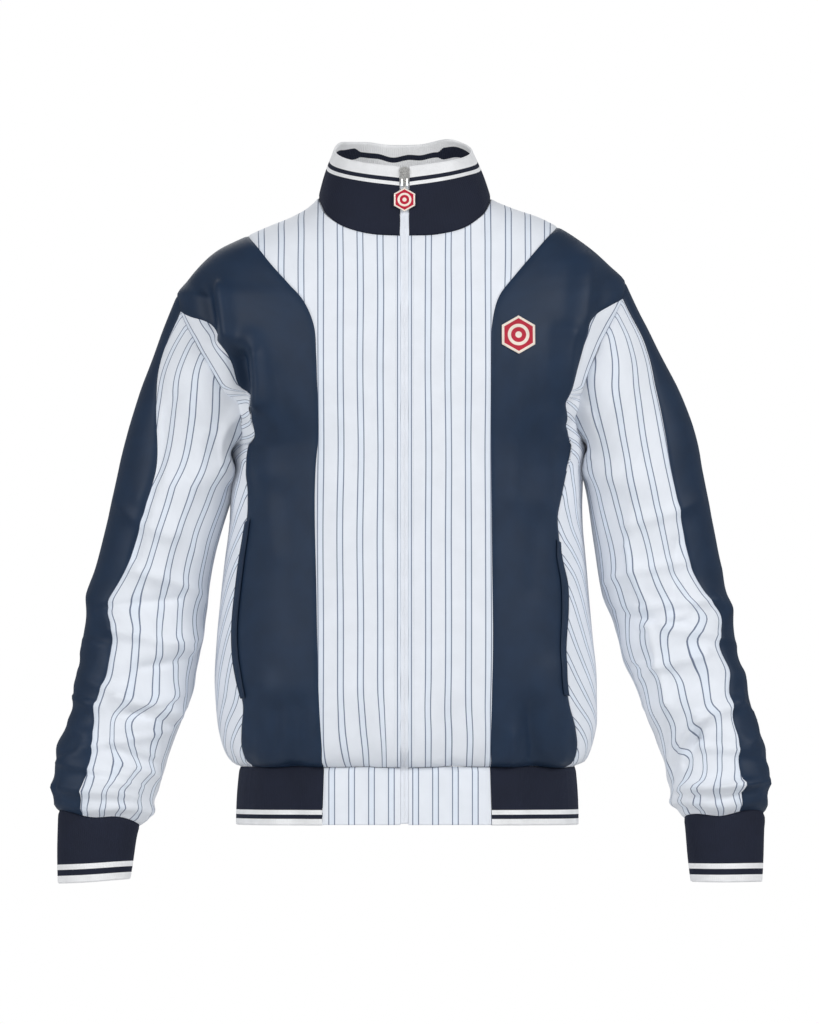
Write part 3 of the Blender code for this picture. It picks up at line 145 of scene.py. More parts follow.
floor_mesh = bpy.data.meshes.new("studio_floor")
floor_form = bmesh.new()
bmesh.ops.create_circle(floor_form, cap_ends=True, segments=96, radius=FLOOR_RADIUS)
bmesh.ops.translate(floor_form, verts=floor_form.verts, vec=(0, 0, FLOOR_LEVEL))
floor_form.to_mesh(floor_mesh)
floor_form.free()
floor = bpy.data.objects.new("studio_floor", floor_mesh)
floor_paint = bpy.data.materials.new("pale_floor")
floor_paint.use_nodes = True
floor_shader = floor_paint.node_tree.nodes["Principled BSDF"]
floor_shader.inputs["Base Color"].default_value = (0.86, 0.86, 0.86, 1)
floor_shader.inputs["Roughness"].default_value = 0.7
floor_mesh.materials.append(floor_paint)
bpy.context.scene.collection.objects.link(floor)
print("floor at", FLOOR_LEVEL, "m")

# %% [markdown]
# ## The pattern's measurements
#
# A maker draws a jacket as a few lines: how wide and deep the body is at each level, where each seam
# runs, how the armhole turns. The frame's solids follow such tables, so the fine cloth repeats them and
# lies exactly there. A short table with a smooth curve through it is easier to mend than a cloud of
# points.

# %% The torso's levels and seams
OPENING_HALF = 4.5
HEM_HEIGHT = -625.3
BAND_BOTTOM = -688
BAND_FLARE = {"right": 1.022, "left": 1.018}
DENSE = 600

# How square a section is: 2 is an ellipse.
TORSO_COLUMNS = ("height", "half_right", "half_left", "front", "back", "square")
TORSO = [
    (-640, 180.5, 189, 112, 108, 2.4), (-625.3, 180.5, 189, 114, 110, 2.4),
    (-621, 188, 197, 121, 116, 2.4), (-612, 195.5, 203, 127, 121, 2.4),
    (-596, 202, 208.5, 133, 126, 2.38), (-574, 206, 212.5, 137, 129, 2.36),
    (-530, 208.5, 212, 140, 131, 2.35), (-486, 206, 207.5, 140, 131, 2.35),
    (-442, 202, 203, 139, 130, 2.35), (-398, 197.5, 198.6, 138, 130, 2.35),
    (-354, 190.5, 192.5, 137, 130, 2.35), (-310, 180, 183.5, 137, 130, 2.35),
    (-288, 176.5, 181, 136.5, 130, 2.35), (-272, 177, 182.5, 136, 130, 2.35),
    (-261, 183, 187, 135.5, 129.5, 2.35), (-240, 203, 200, 134.5, 129, 2.35),
    (-214, 223, 216, 132.5, 128, 2.35), (-188, 236, 230, 130, 127, 2.35),
    (-163, 245.5, 240, 126.5, 125, 2.35), (-125, 250.5, 246.5, 118, 120, 2.3),
    (-107, 250, 247, 112, 115, 2.3), (-92, 239, 243, 106.5, 110, 2.25),
    (-74, 223.5, 225, 99, 103, 2.25), (-59, 206, 208, 92.5, 96, 2.2), (-42, 172, 185, 85, 87, 2.2),
    (-30, 147, 165, 79.5, 80, 2.15), (-20, 124, 146, 75, 73.5, 2.1), (-10, 106, 118, 71, 66.5, 2.05),
    (0, 95, 96, 67, 59, 2), (12, 85, 84, 63, 54, 2),
]

# %% The armholes, the seams and the neckline
# The armhole from the shoulder tip (0) over the front to the underarm (180), and how far it
# lies inside the torso's outline. The back half is the same, mirrored.
ARMHOLE_COLUMNS = ("around", "height", "inset")
ARMHOLE = {
    "right": [
        (0, -107, 0), (15, -125, 3.5), (45, -163, 15.5), (70, -188, 21.5), (95, -214, 22.3),
        (125, -240, 16.2), (155, -262, 6), (180, -272, 0),
    ],
    "left": [
        (0, -92, 0), (15, -111, 6), (45, -140, 18), (70, -163, 25), (95, -187, 26), (125, -224, 17),
        (155, -256, 6), (180, -272, 0),
    ],
}
JUNCTION = 15

# The seam between the centre front and the side front, and the seam between the side
# front and the side panel: across and height as seen from the front, hem to shoulder.
FRONT_SEAM = {
    "right": [
        (88.8, -625.3), (92.7, -577), (94.7, -529), (96.7, -430), (98.7, -332), (98, -300),
        (94.6, -251), (95.7, -215), (97.8, -155), (101.9, -129), (112.4, -111.5), (143, -77.4),
        (160, -56), (172, -42),
    ],
    "left": [
        (94.6, -625.3), (95.8, -560), (96.9, -486), (96, -390), (95.3, -300), (94.8, -220),
        (95.5, -148.5), (96.8, -131.8), (100.3, -115), (108.8, -100.9), (128.4, -77), (150.8, -50.4),
        (168.4, -32),
    ],
}
SIDE_FRONT_SEAM = {
    "right": [
        (168, -625.3), (178.5, -613), (183, -600), (177, -560), (186.5, -522), (188, -474), (184, -420),
        (178, -377), (171, -346), (170, -314), (168.5, -284), (169.5, -256), (175, -234), (184, -214),
        (192, -195), (197.5, -174), (204, -154), (217, -138), (232, -127),
    ],
    "left": [
        (175, -625.3), (187, -612), (190, -598), (183.6, -570), (177, -544), (176.5, -506), (179, -470),
        (181, -432), (173, -398), (166, -370), (168.5, -345), (172, -318), (172.5, -287), (174, -256),
        (179, -220), (185, -198), (192.5, -180), (198, -158), (204, -138), (217, -122), (230, -113),
    ],
}
# The same two seams on the back.
BACK_SEAM = {
    "right": [
        (88.8, -625.3), (94, -560), (97, -430), (97, -260), (99, -155), (104, -128), (116, -108),
        (143, -77.4), (160, -56), (172, -42),
    ],
    "left": [
        (94.6, -625.3), (96.5, -560), (97, -430), (97, -260), (98, -150), (101, -124), (110, -100),
        (128.4, -77), (150.8, -50.4), (168.4, -32),
    ],
}
SIDE_BACK_SEAM = {
    "right": [
        (168, -625.3), (180, -610), (184, -585), (186, -520), (182, -430), (174, -350), (168, -290),
        (172, -240), (187, -200), (206, -160), (232, -130),
    ],
    "left": [
        (175, -625.3), (187, -610), (190, -585), (188, -520), (182, -430), (174, -350), (171, -290),
        (174, -240), (187, -190), (204, -148), (230, -116),
    ],
}
SHOULDER_JOIN = {"right": -42, "left": -32}
NECK_SIDE = 0
NECK_FRONT = [(OPENING_HALF, -42), (36, -40.5), (68, -32), (89, -15)]
NECK_BACK = [(70, -1.5), (38, -3.5), (0, -4)]

# %% The collar's rim
RIM_HALF_WIDTH = {"right": 78, "left": 75}
RIM_FRONT_DEPTH = 70
RIM_BACK_DEPTH = 60
RIM_COLUMNS = ("turn", "height")
RIM = {
    "right": [
        (0, 33), (40, 39), (90, 52), (118, 61.5), (145, 61.5), (168, 58.2), (180, 58),
    ],
    "left": [
        (0, 33), (40, 40), (90, 51), (118, 60), (140, 64.5), (168, 58.6), (180, 58),
    ],
}

# %% The sleeves' rings and the outer strip
SLEEVE_COLUMNS = ("height", "out", "forward", "half_width", "half_depth")
SLEEVE = {
    "right": [
        (-684, 337.5, 30, 43, 30), (-672, 335.5, 29, 49.5, 36), (-654, 331, 26, 54.5, 43),
        (-618, 322.5, 20, 57.5, 48), (-574, 307, 14, 57.5, 51), (-530, 296.5, 8, 62, 53),
        (-486, 288.5, 3, 65, 55), (-442, 282, 0, 64, 57), (-376, 268, 1, 62.5, 60),
        (-310, 251, 2, 65, 62),
    ],
    "left": [
        (-681, 351.5, 30, 43, 30), (-669, 349.5, 29, 48.5, 36), (-650, 345.5, 26, 52, 42),
        (-618, 340.5, 20, 53.5, 46), (-574, 328, 14, 54.5, 49), (-530, 313, 8, 58, 52),
        (-486, 302, 3, 61, 54), (-453, 292, 1, 62.5, 56), (-420, 283, 0, 67.5, 58),
        (-376, 275, 1, 67, 60), (-299, 262, 2, 65, 62),
    ],
}
SLEEVE_SQUARE = 2.15

CAP_ROWS, ARM_ROWS = 7, 18
OUTER_COLUMNS, UNDER_COLUMNS = 6, 20
BODY_ROWS = 22
NECK_SPANS, SHOULDER_SPANS, TIP_SPANS = 5, 3, 4
JUNCTION_SPANS = OUTER_COLUMNS // 2
WEDGE_SPANS = UNDER_COLUMNS // 2
SIDE_SPANS = 4
BACK_NECK_SPANS = 8
RELAX_PASSES = 90

# How far round the sleeve the strip's seams run. The way down is 0 at the armhole, 1 at the
# foot of the cap and 2 at the cuff.
STRIP_COLUMNS = ("down", "front_seam", "back_seam")
STRIP = {
    "right": [
        (0, 15, -15), (0.17, 18, -28), (0.33, 34, -42), (0.56, 55, -56), (1, 68.5, -64),
        (1.26, 63.5, -64), (1.385, 51, -62), (1.475, 63, -62), (1.58, 64, -66), (1.71, 57, -64),
        (1.84, 72, -66), (2, 68, -66),
    ],
    "left": [
        (0, 15, -15), (0.17, 22, -28), (0.33, 45, -42), (0.56, 60.5, -56), (1, 63, -62),
        (1.285, 61, -64), (1.405, 52, -62), (1.475, 39, -60), (1.535, 50, -62), (1.62, 46, -64),
        (1.71, 56, -64), (1.88, 65, -66), (2, 68, -66),
    ],
}

# %% The main folds, which the frame's solids have too
# Soft ridges in the torso's cloth, seen from the front or the back: from (x, z), to (x, z),
# how wide each is and how far it stands out (troughs are negative).
TORSO_FOLDS = {
    FRONT: [
        (-206, -104, -198, -152, 13, 6), (-170, -158, -164, -222, 13, 7),
        (-186, -176, -181, -214, 9, -4), (-165, -232, -150, -300, 17, 5),
        (-118, -560, -119, -622, 12, -4), (-150, -540, -148, -618, 16, 3.5),
        (196, -70, 188, -145, 15, 5), (176, -150, 168, -235, 15, 5), (166, -260, 152, -330, 18, 4),
        (140, -560, 142, -622, 12, -4), (165, -520, 168, -612, 16, 3), (50, -575, 52, -622, 12, -2.5),
        (-46, -580, -45, -622, 12, -2.5),
    ],
    BACK: [
        (-196, -110, -176, -230, 16, 6), (192, -100, 172, -225, 16, 5.5),
        (-150, -240, -120, -350, 18, 4), (150, -240, 118, -360, 18, 4.5),
        (-120, -540, -122, -622, 15, -4), (122, -550, 124, -622, 14, -3.5),
        (10, -560, 12, -622, 16, -3), (-60, -555, -58, -618, 18, 3), (66, -550, 64, -618, 18, 3),
    ],
}

# Soft buckles across the sleeves: turn round the sleeve, level, reach round, width, drop in
# a quarter turn, and height.
SLEEVE_FOLDS = {
    "right": [
        (150, -300, 60, 16, -26, 6), (60, -455, 75, 17, 30, 5), (110, -500, 70, 17, -28, 5.5),
        (35, -545, 75, 15, 24, 5.5), (120, -575, 65, 14, -24, 5), (40, -608, 70, 13, 18, 4.5),
        (115, -640, 75, 13, -14, 5.5), (20, -652, 60, 12, 8, 4), (250, -470, 70, 17, 24, 5),
        (230, -530, 70, 16, -20, 5), (260, -590, 70, 14, 18, 4.5), (240, -645, 75, 13, -10, 5),
    ],
    "left": [
        (150, -300, 60, 16, -24, 6), (50, -440, 70, 16, -26, 6), (115, -482, 75, 17, 28, 5.5),
        (40, -520, 70, 15, -24, 5), (110, -556, 70, 15, 26, 5), (40, -598, 70, 13, -18, 4.5),
        (90, -652, 90, 12, 12, 6.5), (20, -632, 55, 12, 8, 4), (250, -460, 70, 17, -24, 5),
        (235, -525, 70, 16, 20, 5), (260, -588, 70, 14, -18, 4.5), (240, -645, 75, 13, 10, 5),
    ],
}

# %% [markdown]
# ## Drawing lines and surfaces from the tables
#
# Each row of a table is a key, and a smooth curve that never overshoots joins the keys. The torso is a
# squarish oval at every level. A point near it is moved onto it along its slope, so a piece's inside
# can be spread evenly and still lie on the form, and the pieces meet exactly where the solids do.

# %% Smooth curves through keys
def unit(vectors):
    vectors = np.asarray(vectors, float)
    length = np.linalg.norm(vectors, axis=-1, keepdims=True)
    return vectors / np.maximum(length, 1e-9)


def smooth(keys, values, at):
    """Reads a smooth curve through keyed values, which never overshoots them."""
    keys = np.asarray(keys, float)
    values = np.asarray(values, float)
    at = np.clip(np.asarray(at, float), keys[0], keys[-1])
    steps = np.diff(keys)
    slopes = np.diff(values) / steps
    product = slopes[:-1] * slopes[1:]
    total = np.where(product > 0, slopes[:-1] + slopes[1:], 1)
    inner = np.where(product > 0, 2 * product / total, 0)
    tangents = np.concatenate([slopes[:1], inner, slopes[-1:]])
    index = np.clip(np.searchsorted(keys, at, side="right") - 1, 0, len(steps) - 1)
    t = (at - keys[index]) / steps[index]
    rise = values[index + 1] - values[index]
    start = tangents[index] * steps[index]
    end = tangents[index + 1] * steps[index]
    curve = t * start + t * t * (3 * rise - 2 * start - end) + t**3 * (start + end - 2 * rise)
    return values[index] + curve


def columns(names, rows):
    """A short table as named arrays, ordered by its first column."""
    ordered = sorted(rows)
    return {name: np.array([row[k] for row in ordered], float) for k, name in enumerate(names)}


def read(table, name, at):
    """A column of a table at places between its keys, which are its first column."""
    return smooth(next(iter(table.values())), table[name], at)


TORSO_TABLE = columns(TORSO_COLUMNS, TORSO)
ARMHOLE_TABLE = {side: columns(ARMHOLE_COLUMNS, rows) for side, rows in ARMHOLE.items()}
SLEEVE_TABLE = {side: columns(SLEEVE_COLUMNS, rows) for side, rows in SLEEVE.items()}
STRIP_TABLE = {side: columns(STRIP_COLUMNS, rows) for side, rows in STRIP.items()}
RIM_TABLE = {side: columns(RIM_COLUMNS, rows) for side, rows in RIM.items()}


# %% The torso as a form
def torso_size(name, height):
    return read(TORSO_TABLE, name, height)


def half_width(x, height):
    return np.where(x < 0, torso_size("half_right", height), torso_size("half_left", height))


def torso_depth(face, height):
    return np.where(face < 0, torso_size("front", height), torso_size("back", height))


def on_torso(x, height, face):
    """The torso's point at a place seen from the front or the back."""
    x, height = np.asarray(x, float), np.asarray(height, float)
    square = torso_size("square", height)
    half = half_width(x, height)
    share = np.clip(np.abs(x) / half, 0, 1)
    y = face * torso_depth(face, height) * (1 - share**square) ** (1 / square)
    return np.stack([np.sign(x) * share * half, y, height], axis=-1)


def torso_level(points):
    """Zero on the torso's form, negative inside it."""
    x, y, height = np.moveaxis(points, -1, 0)
    square = torso_size("square", height)
    across = np.abs(x) / half_width(x, height)
    through = np.abs(y) / torso_depth(y, height)
    return across**square + through**square - 1


def torso_slope(points, step=0.4):
    parts = [
        torso_level(points + step * axis) - torso_level(points - step * axis) for axis in np.eye(3)
    ]
    return np.stack(parts, axis=-1) / (2 * step)


def onto_torso(points, passes=8):
    """Moves points that lie near the form onto it."""
    for _ in range(passes):
        slope = torso_slope(points)
        square = np.sum(slope * slope, axis=-1, keepdims=True)
        points = points - torso_level(points)[..., None] * slope / np.maximum(square, 1e-12)
    return points


# %% The main folds on that form
FACING_DEPTH = 40


def segment_distance(x, z, from_x, from_z, to_x, to_z):
    """How far a place is from a fold's line."""
    run_x, run_z = to_x - from_x, to_z - from_z
    length = math.hypot(run_x, run_z)
    share = ((x - from_x) * run_x + (z - from_z) * run_z) / length**2
    held = np.clip(share, 0, 1)
    return np.hypot(x - from_x - held * run_x, z - from_z - held * run_z)


def fold_torso(points):
    """Raises the folds in the torso's cloth."""
    x, y, z = np.moveaxis(points, -1, 0)
    rise = np.zeros_like(x)
    for face, rows in TORSO_FOLDS.items():
        facing = np.clip(face * y / FACING_DEPTH, 0, 1)
        for *line, width, height in rows:
            rise += facing * height * np.exp(-((segment_distance(x, z, *line) / width) ** 2))
    return points + rise[..., None] * unit(torso_slope(points))


# %% Seams, silhouettes and armholes as lines of points
def travel(points):
    """The way along a line of points, from its first one."""
    lengths = np.linalg.norm(np.diff(points, axis=0), axis=-1)
    return np.concatenate([[0], np.cumsum(lengths)])


def spread(points, count):
    """Sets count + 1 points at even steps along a dense line."""
    travelled = travel(points)
    stops = np.linspace(0, travelled[-1], count + 1)
    return np.stack([np.interp(stops, travelled, points[:, k]) for k in range(3)], axis=-1)


def seam_line(side, keys, face, count):
    """A seam through places seen from the front or the back, as points on the torso."""
    keys = np.array(keys, float)
    travelled = np.concatenate([[0], np.cumsum(np.hypot(*np.diff(keys, axis=0).T))])
    at = np.linspace(0, travelled[-1], DENSE)
    at = travelled[-1] * (1 - (1 - at / travelled[-1]) ** 2)
    x = SIDES[side] * smooth(travelled, keys[:, 0], at)
    line = on_torso(x, smooth(travelled, keys[:, 1], at), face)
    return spread(line, count)


def silhouette(side, height):
    """The torso's side point at a level: on the shoulder, the shoulder seam."""
    height = np.asarray(height, float)
    x = SIDES[side] * half_width(SIDES[side], height)
    return np.stack([x, np.zeros_like(x), height], axis=-1)


def ridge_line(side, start, end, count):
    return spread(silhouette(side, np.linspace(start, end, DENSE)), count)


def armhole(side, around):
    """The armhole's points; a turn past 180 runs up the back."""
    around = np.asarray(around, float) % 360
    turn = np.where(around > 180, 360 - around, around)
    height, inset = (read(ARMHOLE_TABLE[side], name, turn) for name in ("height", "inset"))
    x = SIDES[side] * (half_width(SIDES[side], height) - inset)
    on_back = (around > 180)[..., None]
    return np.where(on_back, on_torso(x, height, BACK), on_torso(x, height, FRONT))


def armhole_turns(side, count):
    """The turns at even steps along the armhole, from the junction to the underarm."""
    turns = np.linspace(JUNCTION, 180, DENSE)
    travelled = travel(armhole(side, turns))
    return np.interp(np.linspace(0, travelled[-1], count + 1), travelled, turns)


# %% Hems, and patches between four edges
def hem_line(side, start, end, face, count):
    """A stretch of the hem between two places seen from the front or the back."""
    x = SIDES[side] * np.linspace(start, end, DENSE)
    return spread(on_torso(x, np.full_like(x, HEM_HEIGHT), face), count)


def coons(bottom, top, start, end):
    """A four-sided patch between its edges; start and end run from bottom to top."""
    across = np.linspace(0, 1, len(bottom))[None, :, None]
    up = np.linspace(0, 1, len(start))[:, None, None]
    ruled = (1 - up) * bottom[None] + up * top[None]
    crossed = (1 - across) * start[:, None] + across * end[:, None]
    corners = (1 - up) * ((1 - across) * bottom[0] + across * bottom[-1])
    corners = corners + up * ((1 - across) * top[0] + across * top[-1])
    return ruled + crossed - corners


def dot(a, b):
    return np.sum(a * b, axis=-1, keepdims=True)


def evened(patch):
    """One step towards even cells that never cross the patch's edges."""
    above, below = patch[2:, 1:-1], patch[:-2, 1:-1]
    ahead, behind = patch[1:-1, 2:], patch[1:-1, :-2]
    across, up = (ahead - behind) / 2, (above - below) / 2
    corners = patch[2:, 2:] - patch[2:, :-2] - patch[:-2, 2:] + patch[:-2, :-2]
    tall, wide, skew = dot(up, up), dot(across, across), dot(across, up)
    total = tall * (ahead + behind) + wide * (above + below) - 0.5 * skew * corners
    return total / (2 * (tall + wide))


# %% The sleeve's middle line and its rings
SLOPE_STEP = 6


def sleeve_axis(side, height):
    """The middle of the sleeve at a level."""
    out, forward = (read(SLEEVE_TABLE[side], name, height) for name in ("out", "forward"))
    return np.stack([SIDES[side] * out, -forward, height], axis=-1)


def sleeve_ring(side, around, height):
    """A point of the sleeve's tube below the cap: turn 0 is outward and 90 the front."""
    table = SLEEVE_TABLE[side]
    foot, top = table["height"][[0, -1]]
    height = np.clip(height, foot, top)
    below, above = np.maximum(height - SLOPE_STEP, foot), np.minimum(height + SLOPE_STEP, top)
    down = unit(sleeve_axis(side, below) - sleeve_axis(side, above))
    outward = np.zeros_like(down)
    outward[..., 0] = SIDES[side]
    outward = unit(outward - dot(outward, down) * down)
    forward = np.cross(down, outward) * SIDES[side]
    turn = np.radians(around)
    cos, sin = np.cos(turn), np.sin(turn)
    power = 2 / SLEEVE_SQUARE
    wide = np.sign(cos) * np.abs(cos) ** power * read(table, "half_width", height)
    deep = np.sign(sin) * np.abs(sin) ** power * read(table, "half_depth", height)
    return sleeve_axis(side, height) + wide[..., None] * outward + deep[..., None] * forward, down


# %% The coarse grids of the torso's pieces
def torso_patch(bottom, top, start, end):
    """A cut piece of the torso: its edges stay, its inside is spread evenly on the form."""
    patch = coons(bottom, top, start, end)
    patch[1:-1, 1:-1] = onto_torso(patch[1:-1, 1:-1])
    for _ in range(RELAX_PASSES):
        patch[1:-1, 1:-1] = onto_torso(evened(patch), passes=2)
    return patch


def joined(*lines):
    """Lines laid end to end, their shared points taken once."""
    return np.concatenate([lines[0]] + [line[1:] for line in lines[1:]])


def side_edges(side, face):
    """All the seams of one quarter of the torso, hem to top or centre to side."""
    front = face < 0
    centre_keys = (FRONT_SEAM if front else BACK_SEAM)[side]
    side_keys = (SIDE_FRONT_SEAM if front else SIDE_BACK_SEAM)[side]
    turn = 1 if front else -1
    tip = ARMHOLE_TABLE[side]["height"][0]
    underarm = ARMHOLE_TABLE[side]["height"][-1]
    centre_seam = seam_line(side, centre_keys, face, BODY_ROWS)
    centre_seam[-1] = silhouette(side, SHOULDER_JOIN[side])
    centre_seam = spread(centre_seam, BODY_ROWS)
    side_seam = seam_line(side, side_keys, face, BODY_ROWS)
    side_seam[-1] = armhole(side, turn * JUNCTION)
    side_seam = spread(side_seam, BODY_ROWS)
    half = half_width(SIDES[side], HEM_HEIGHT)
    return {
        "centre_seam": centre_seam,
        "side_seam": side_seam,
        "underarm_seam": ridge_line(side, HEM_HEIGHT, underarm, BODY_ROWS - WEDGE_SPANS),
        "shoulder_neck": ridge_line(side, NECK_SIDE, SHOULDER_JOIN[side], SHOULDER_SPANS),
        "shoulder_tip": ridge_line(side, SHOULDER_JOIN[side], tip, TIP_SPANS),
        "armhole_tip": armhole(side, turn * np.linspace(0, JUNCTION, JUNCTION_SPANS + 1)),
        "armhole_rise": armhole(side, turn * armhole_turns(side, WEDGE_SPANS)[::-1]),
        "hem_side": hem_line(side, centre_keys[0][0], side_keys[0][0], face, TIP_SPANS + JUNCTION_SPANS),
        "hem_under": hem_line(side, side_keys[0][0], half, face, SIDE_SPANS),
    }


def neck_line(side, face):
    """The neckline from the shoulder seam to the centre of the front or the back."""
    corner = (float(silhouette(side, NECK_SIDE)[0]) * SIDES[side], NECK_SIDE)
    if face < 0:
        return seam_line(side, NECK_FRONT + [corner], face, NECK_SPANS)[::-1]
    return seam_line(side, [corner] + NECK_BACK, face, BACK_NECK_SPANS // 2)


# %% The torso's pieces, and where their edges turn a corner
def torso_pieces():
    """The grids of every piece of the torso."""
    grids, back = {}, {}
    for side in SIDES:
        edges = {face: side_edges(side, face) for face in (FRONT, BACK)}
        opening = [(OPENING_HALF, HEM_HEIGHT), (OPENING_HALF, NECK_FRONT[0][1])]
        opening = seam_line(side, opening, FRONT, BODY_ROWS)
        hem_end = FRONT_SEAM[side][0][0]
        hem = hem_line(side, OPENING_HALF, hem_end, FRONT, NECK_SPANS + SHOULDER_SPANS)
        top = joined(neck_line(side, FRONT)[::-1], edges[FRONT]["shoulder_neck"])
        grids[f"front_centre_{side}"] = torso_patch(hem, top, opening, edges[FRONT]["centre_seam"])
        for name, quarter in zip(("front", "back"), edges.values()):
            top = joined(quarter["shoulder_tip"], quarter["armhole_tip"])
            grids[f"{name}_side_{side}"] = torso_patch(
                quarter["hem_side"], top, quarter["centre_seam"], quarter["side_seam"]
            )
            under = joined(quarter["underarm_seam"], quarter["armhole_rise"])
            point = np.repeat(under[-1:], SIDE_SPANS + 1, axis=0)
            grids[f"side_{name}_{side}"] = torso_patch(
                quarter["hem_under"], point, quarter["side_seam"], under
            )
        back[side] = edges[BACK]
    right, left = back["right"], back["left"]
    neck = joined(neck_line("right", BACK), neck_line("left", BACK)[::-1])
    top = joined(right["shoulder_neck"][::-1], neck, left["shoulder_neck"])
    hem = np.linspace(-BACK_SEAM["right"][0][0], BACK_SEAM["left"][0][0], DENSE)
    hem = spread(on_torso(hem, np.full_like(hem, HEM_HEIGHT), BACK), len(top) - 1)
    grids["back_centre"] = torso_patch(hem, top, right["centre_seam"], left["centre_seam"])
    return grids


coarse = torso_pieces()
back_corners = np.cumsum([SHOULDER_SPANS, BACK_NECK_SPANS // 2, BACK_NECK_SPANS // 2])
CORNERS = {"back_centre": {"top": back_corners}}
for side in SIDES:
    CORNERS[f"front_centre_{side}"] = {"top": [NECK_SPANS]}
    for face in ("front", "back"):
        CORNERS[f"{face}_side_{side}"] = {"top": [TIP_SPANS]}
        CORNERS[f"side_{face}_{side}"] = {"end": [BODY_ROWS - WEDGE_SPANS]}
print("torso pieces:", len(coarse))

# %% [markdown]
# ## Fine cloth on the coarse grids
#
# Folds need points about 4 mm apart. A smooth cubic through the coarse points gives as many as wanted.
# Only four neighbours shape each point, so two pieces that share an edge's coarse points also share its
# fine curve. The spacing tightens next to the edges, where the cloth rolls into its seam.

# %% Fine places between coarse points
EDGE_STEPS = (0.12, 0.3, 0.55)


def fine_places(spans, per_span):
    """Even places along a coarse edge, with a few more just inside both ends."""
    even = np.linspace(0, spans, spans * per_span + 1)
    near = np.array(EDGE_STEPS) / per_span
    return np.unique(np.concatenate([even, near, spans - near]).round(9))


def cubic(points, places, corners=()):
    """Points at places along a coarse line; the line may turn sharply at its corners."""
    count = len(points) - 1
    stops = [0, *corners, count]
    result = np.empty((len(places), *points.shape[1:]))
    for first, last in zip(stops[:-1], stops[1:]):
        part = points[first : last + 1]
        before, after = 2 * part[:1] - part[1:2], 2 * part[-1:] - part[-2:-1]
        padded = np.concatenate([before, part, after])
        chosen = (places >= first) & (places <= last)
        at = places[chosen] - first
        index = np.minimum(at.astype(int), last - first - 1)
        t = (at - index).reshape(-1, *([1] * (points.ndim - 1)))
        a, b, c, d = (padded[index + k] for k in range(4))
        curve = 2 * b + (c - a) * t + (2 * a - 5 * b + 4 * c - d) * t * t
        result[chosen] = 0.5 * (curve + (3 * b - 3 * c + d - a) * t**3)
    return result


def fine_grid(grid, rows, across, corners):
    """A grid's points at fine rows and columns; its edges follow their own corners."""
    fine = cubic(cubic(grid, rows).swapaxes(0, 1), across).swapaxes(0, 1)
    lines = {"bottom": (grid[0], across), "top": (grid[-1], across),
             "start": (grid[:, 0], rows), "end": (grid[:, -1], rows)}
    edges = [cubic(*line, corners.get(name, ())) for name, line in lines.items()]
    before = (fine[0], fine[-1], fine[:, 0], fine[:, -1])
    fine = fine + coons(*(edge - line for edge, line in zip(edges, before)))
    fine[1:-1, 1:-1] = onto_torso(fine[1:-1, 1:-1], passes=3)
    return fine


print("fine points per edge step:", len(EDGE_STEPS))

# %% [markdown]
# ## Creases, puckers and the slack of worn cloth
#
# Worn sleeves buckle above the elbow and stack up on the cuffs, the body blouses over the waistband,
# and gathered seams pucker. Cloth simulation would give other folds at each change, so they are listed
# one by one: each is a line on the cloth with a width and a height. Seeded noise makes the rest uneven.

# %% Seeded noise for what no one places by hand
def lattice(cells, seed):
    """A repeatable random number from -1 to 1 for every whole-numbered cell."""
    mixed = cells[..., 0] * 374761393 + cells[..., 1] * 668265263 + cells[..., 2] * 974634777
    mixed = (mixed + seed * 1442695041) & 0xFFFFFFFF
    mixed = ((mixed ^ (mixed >> 13)) * 1274126177) & 0xFFFFFFFF
    mixed = (mixed ^ (mixed >> 16)) & 0xFFFFFF
    return mixed / float(0x7FFFFF) - 1


def noise(points, seed):
    """Smooth noise from -1 to 1 with features about one unit across."""
    base = np.floor(points).astype(np.int64)
    t = points - base
    t = t * t * (3 - 2 * t)
    total = 0
    for corner in np.ndindex(2, 2, 2):
        offset = np.array(corner)
        weight = np.prod(np.where(offset == 1, t, 1 - t), axis=-1)
        total = total + weight * lattice(base + offset, seed)
    return total


def fade(value, start, end):
    """0 before start, 1 after end and smooth between."""
    t = np.clip((value - start) / (end - start), 0, 1)
    return t * t * (3 - 2 * t)


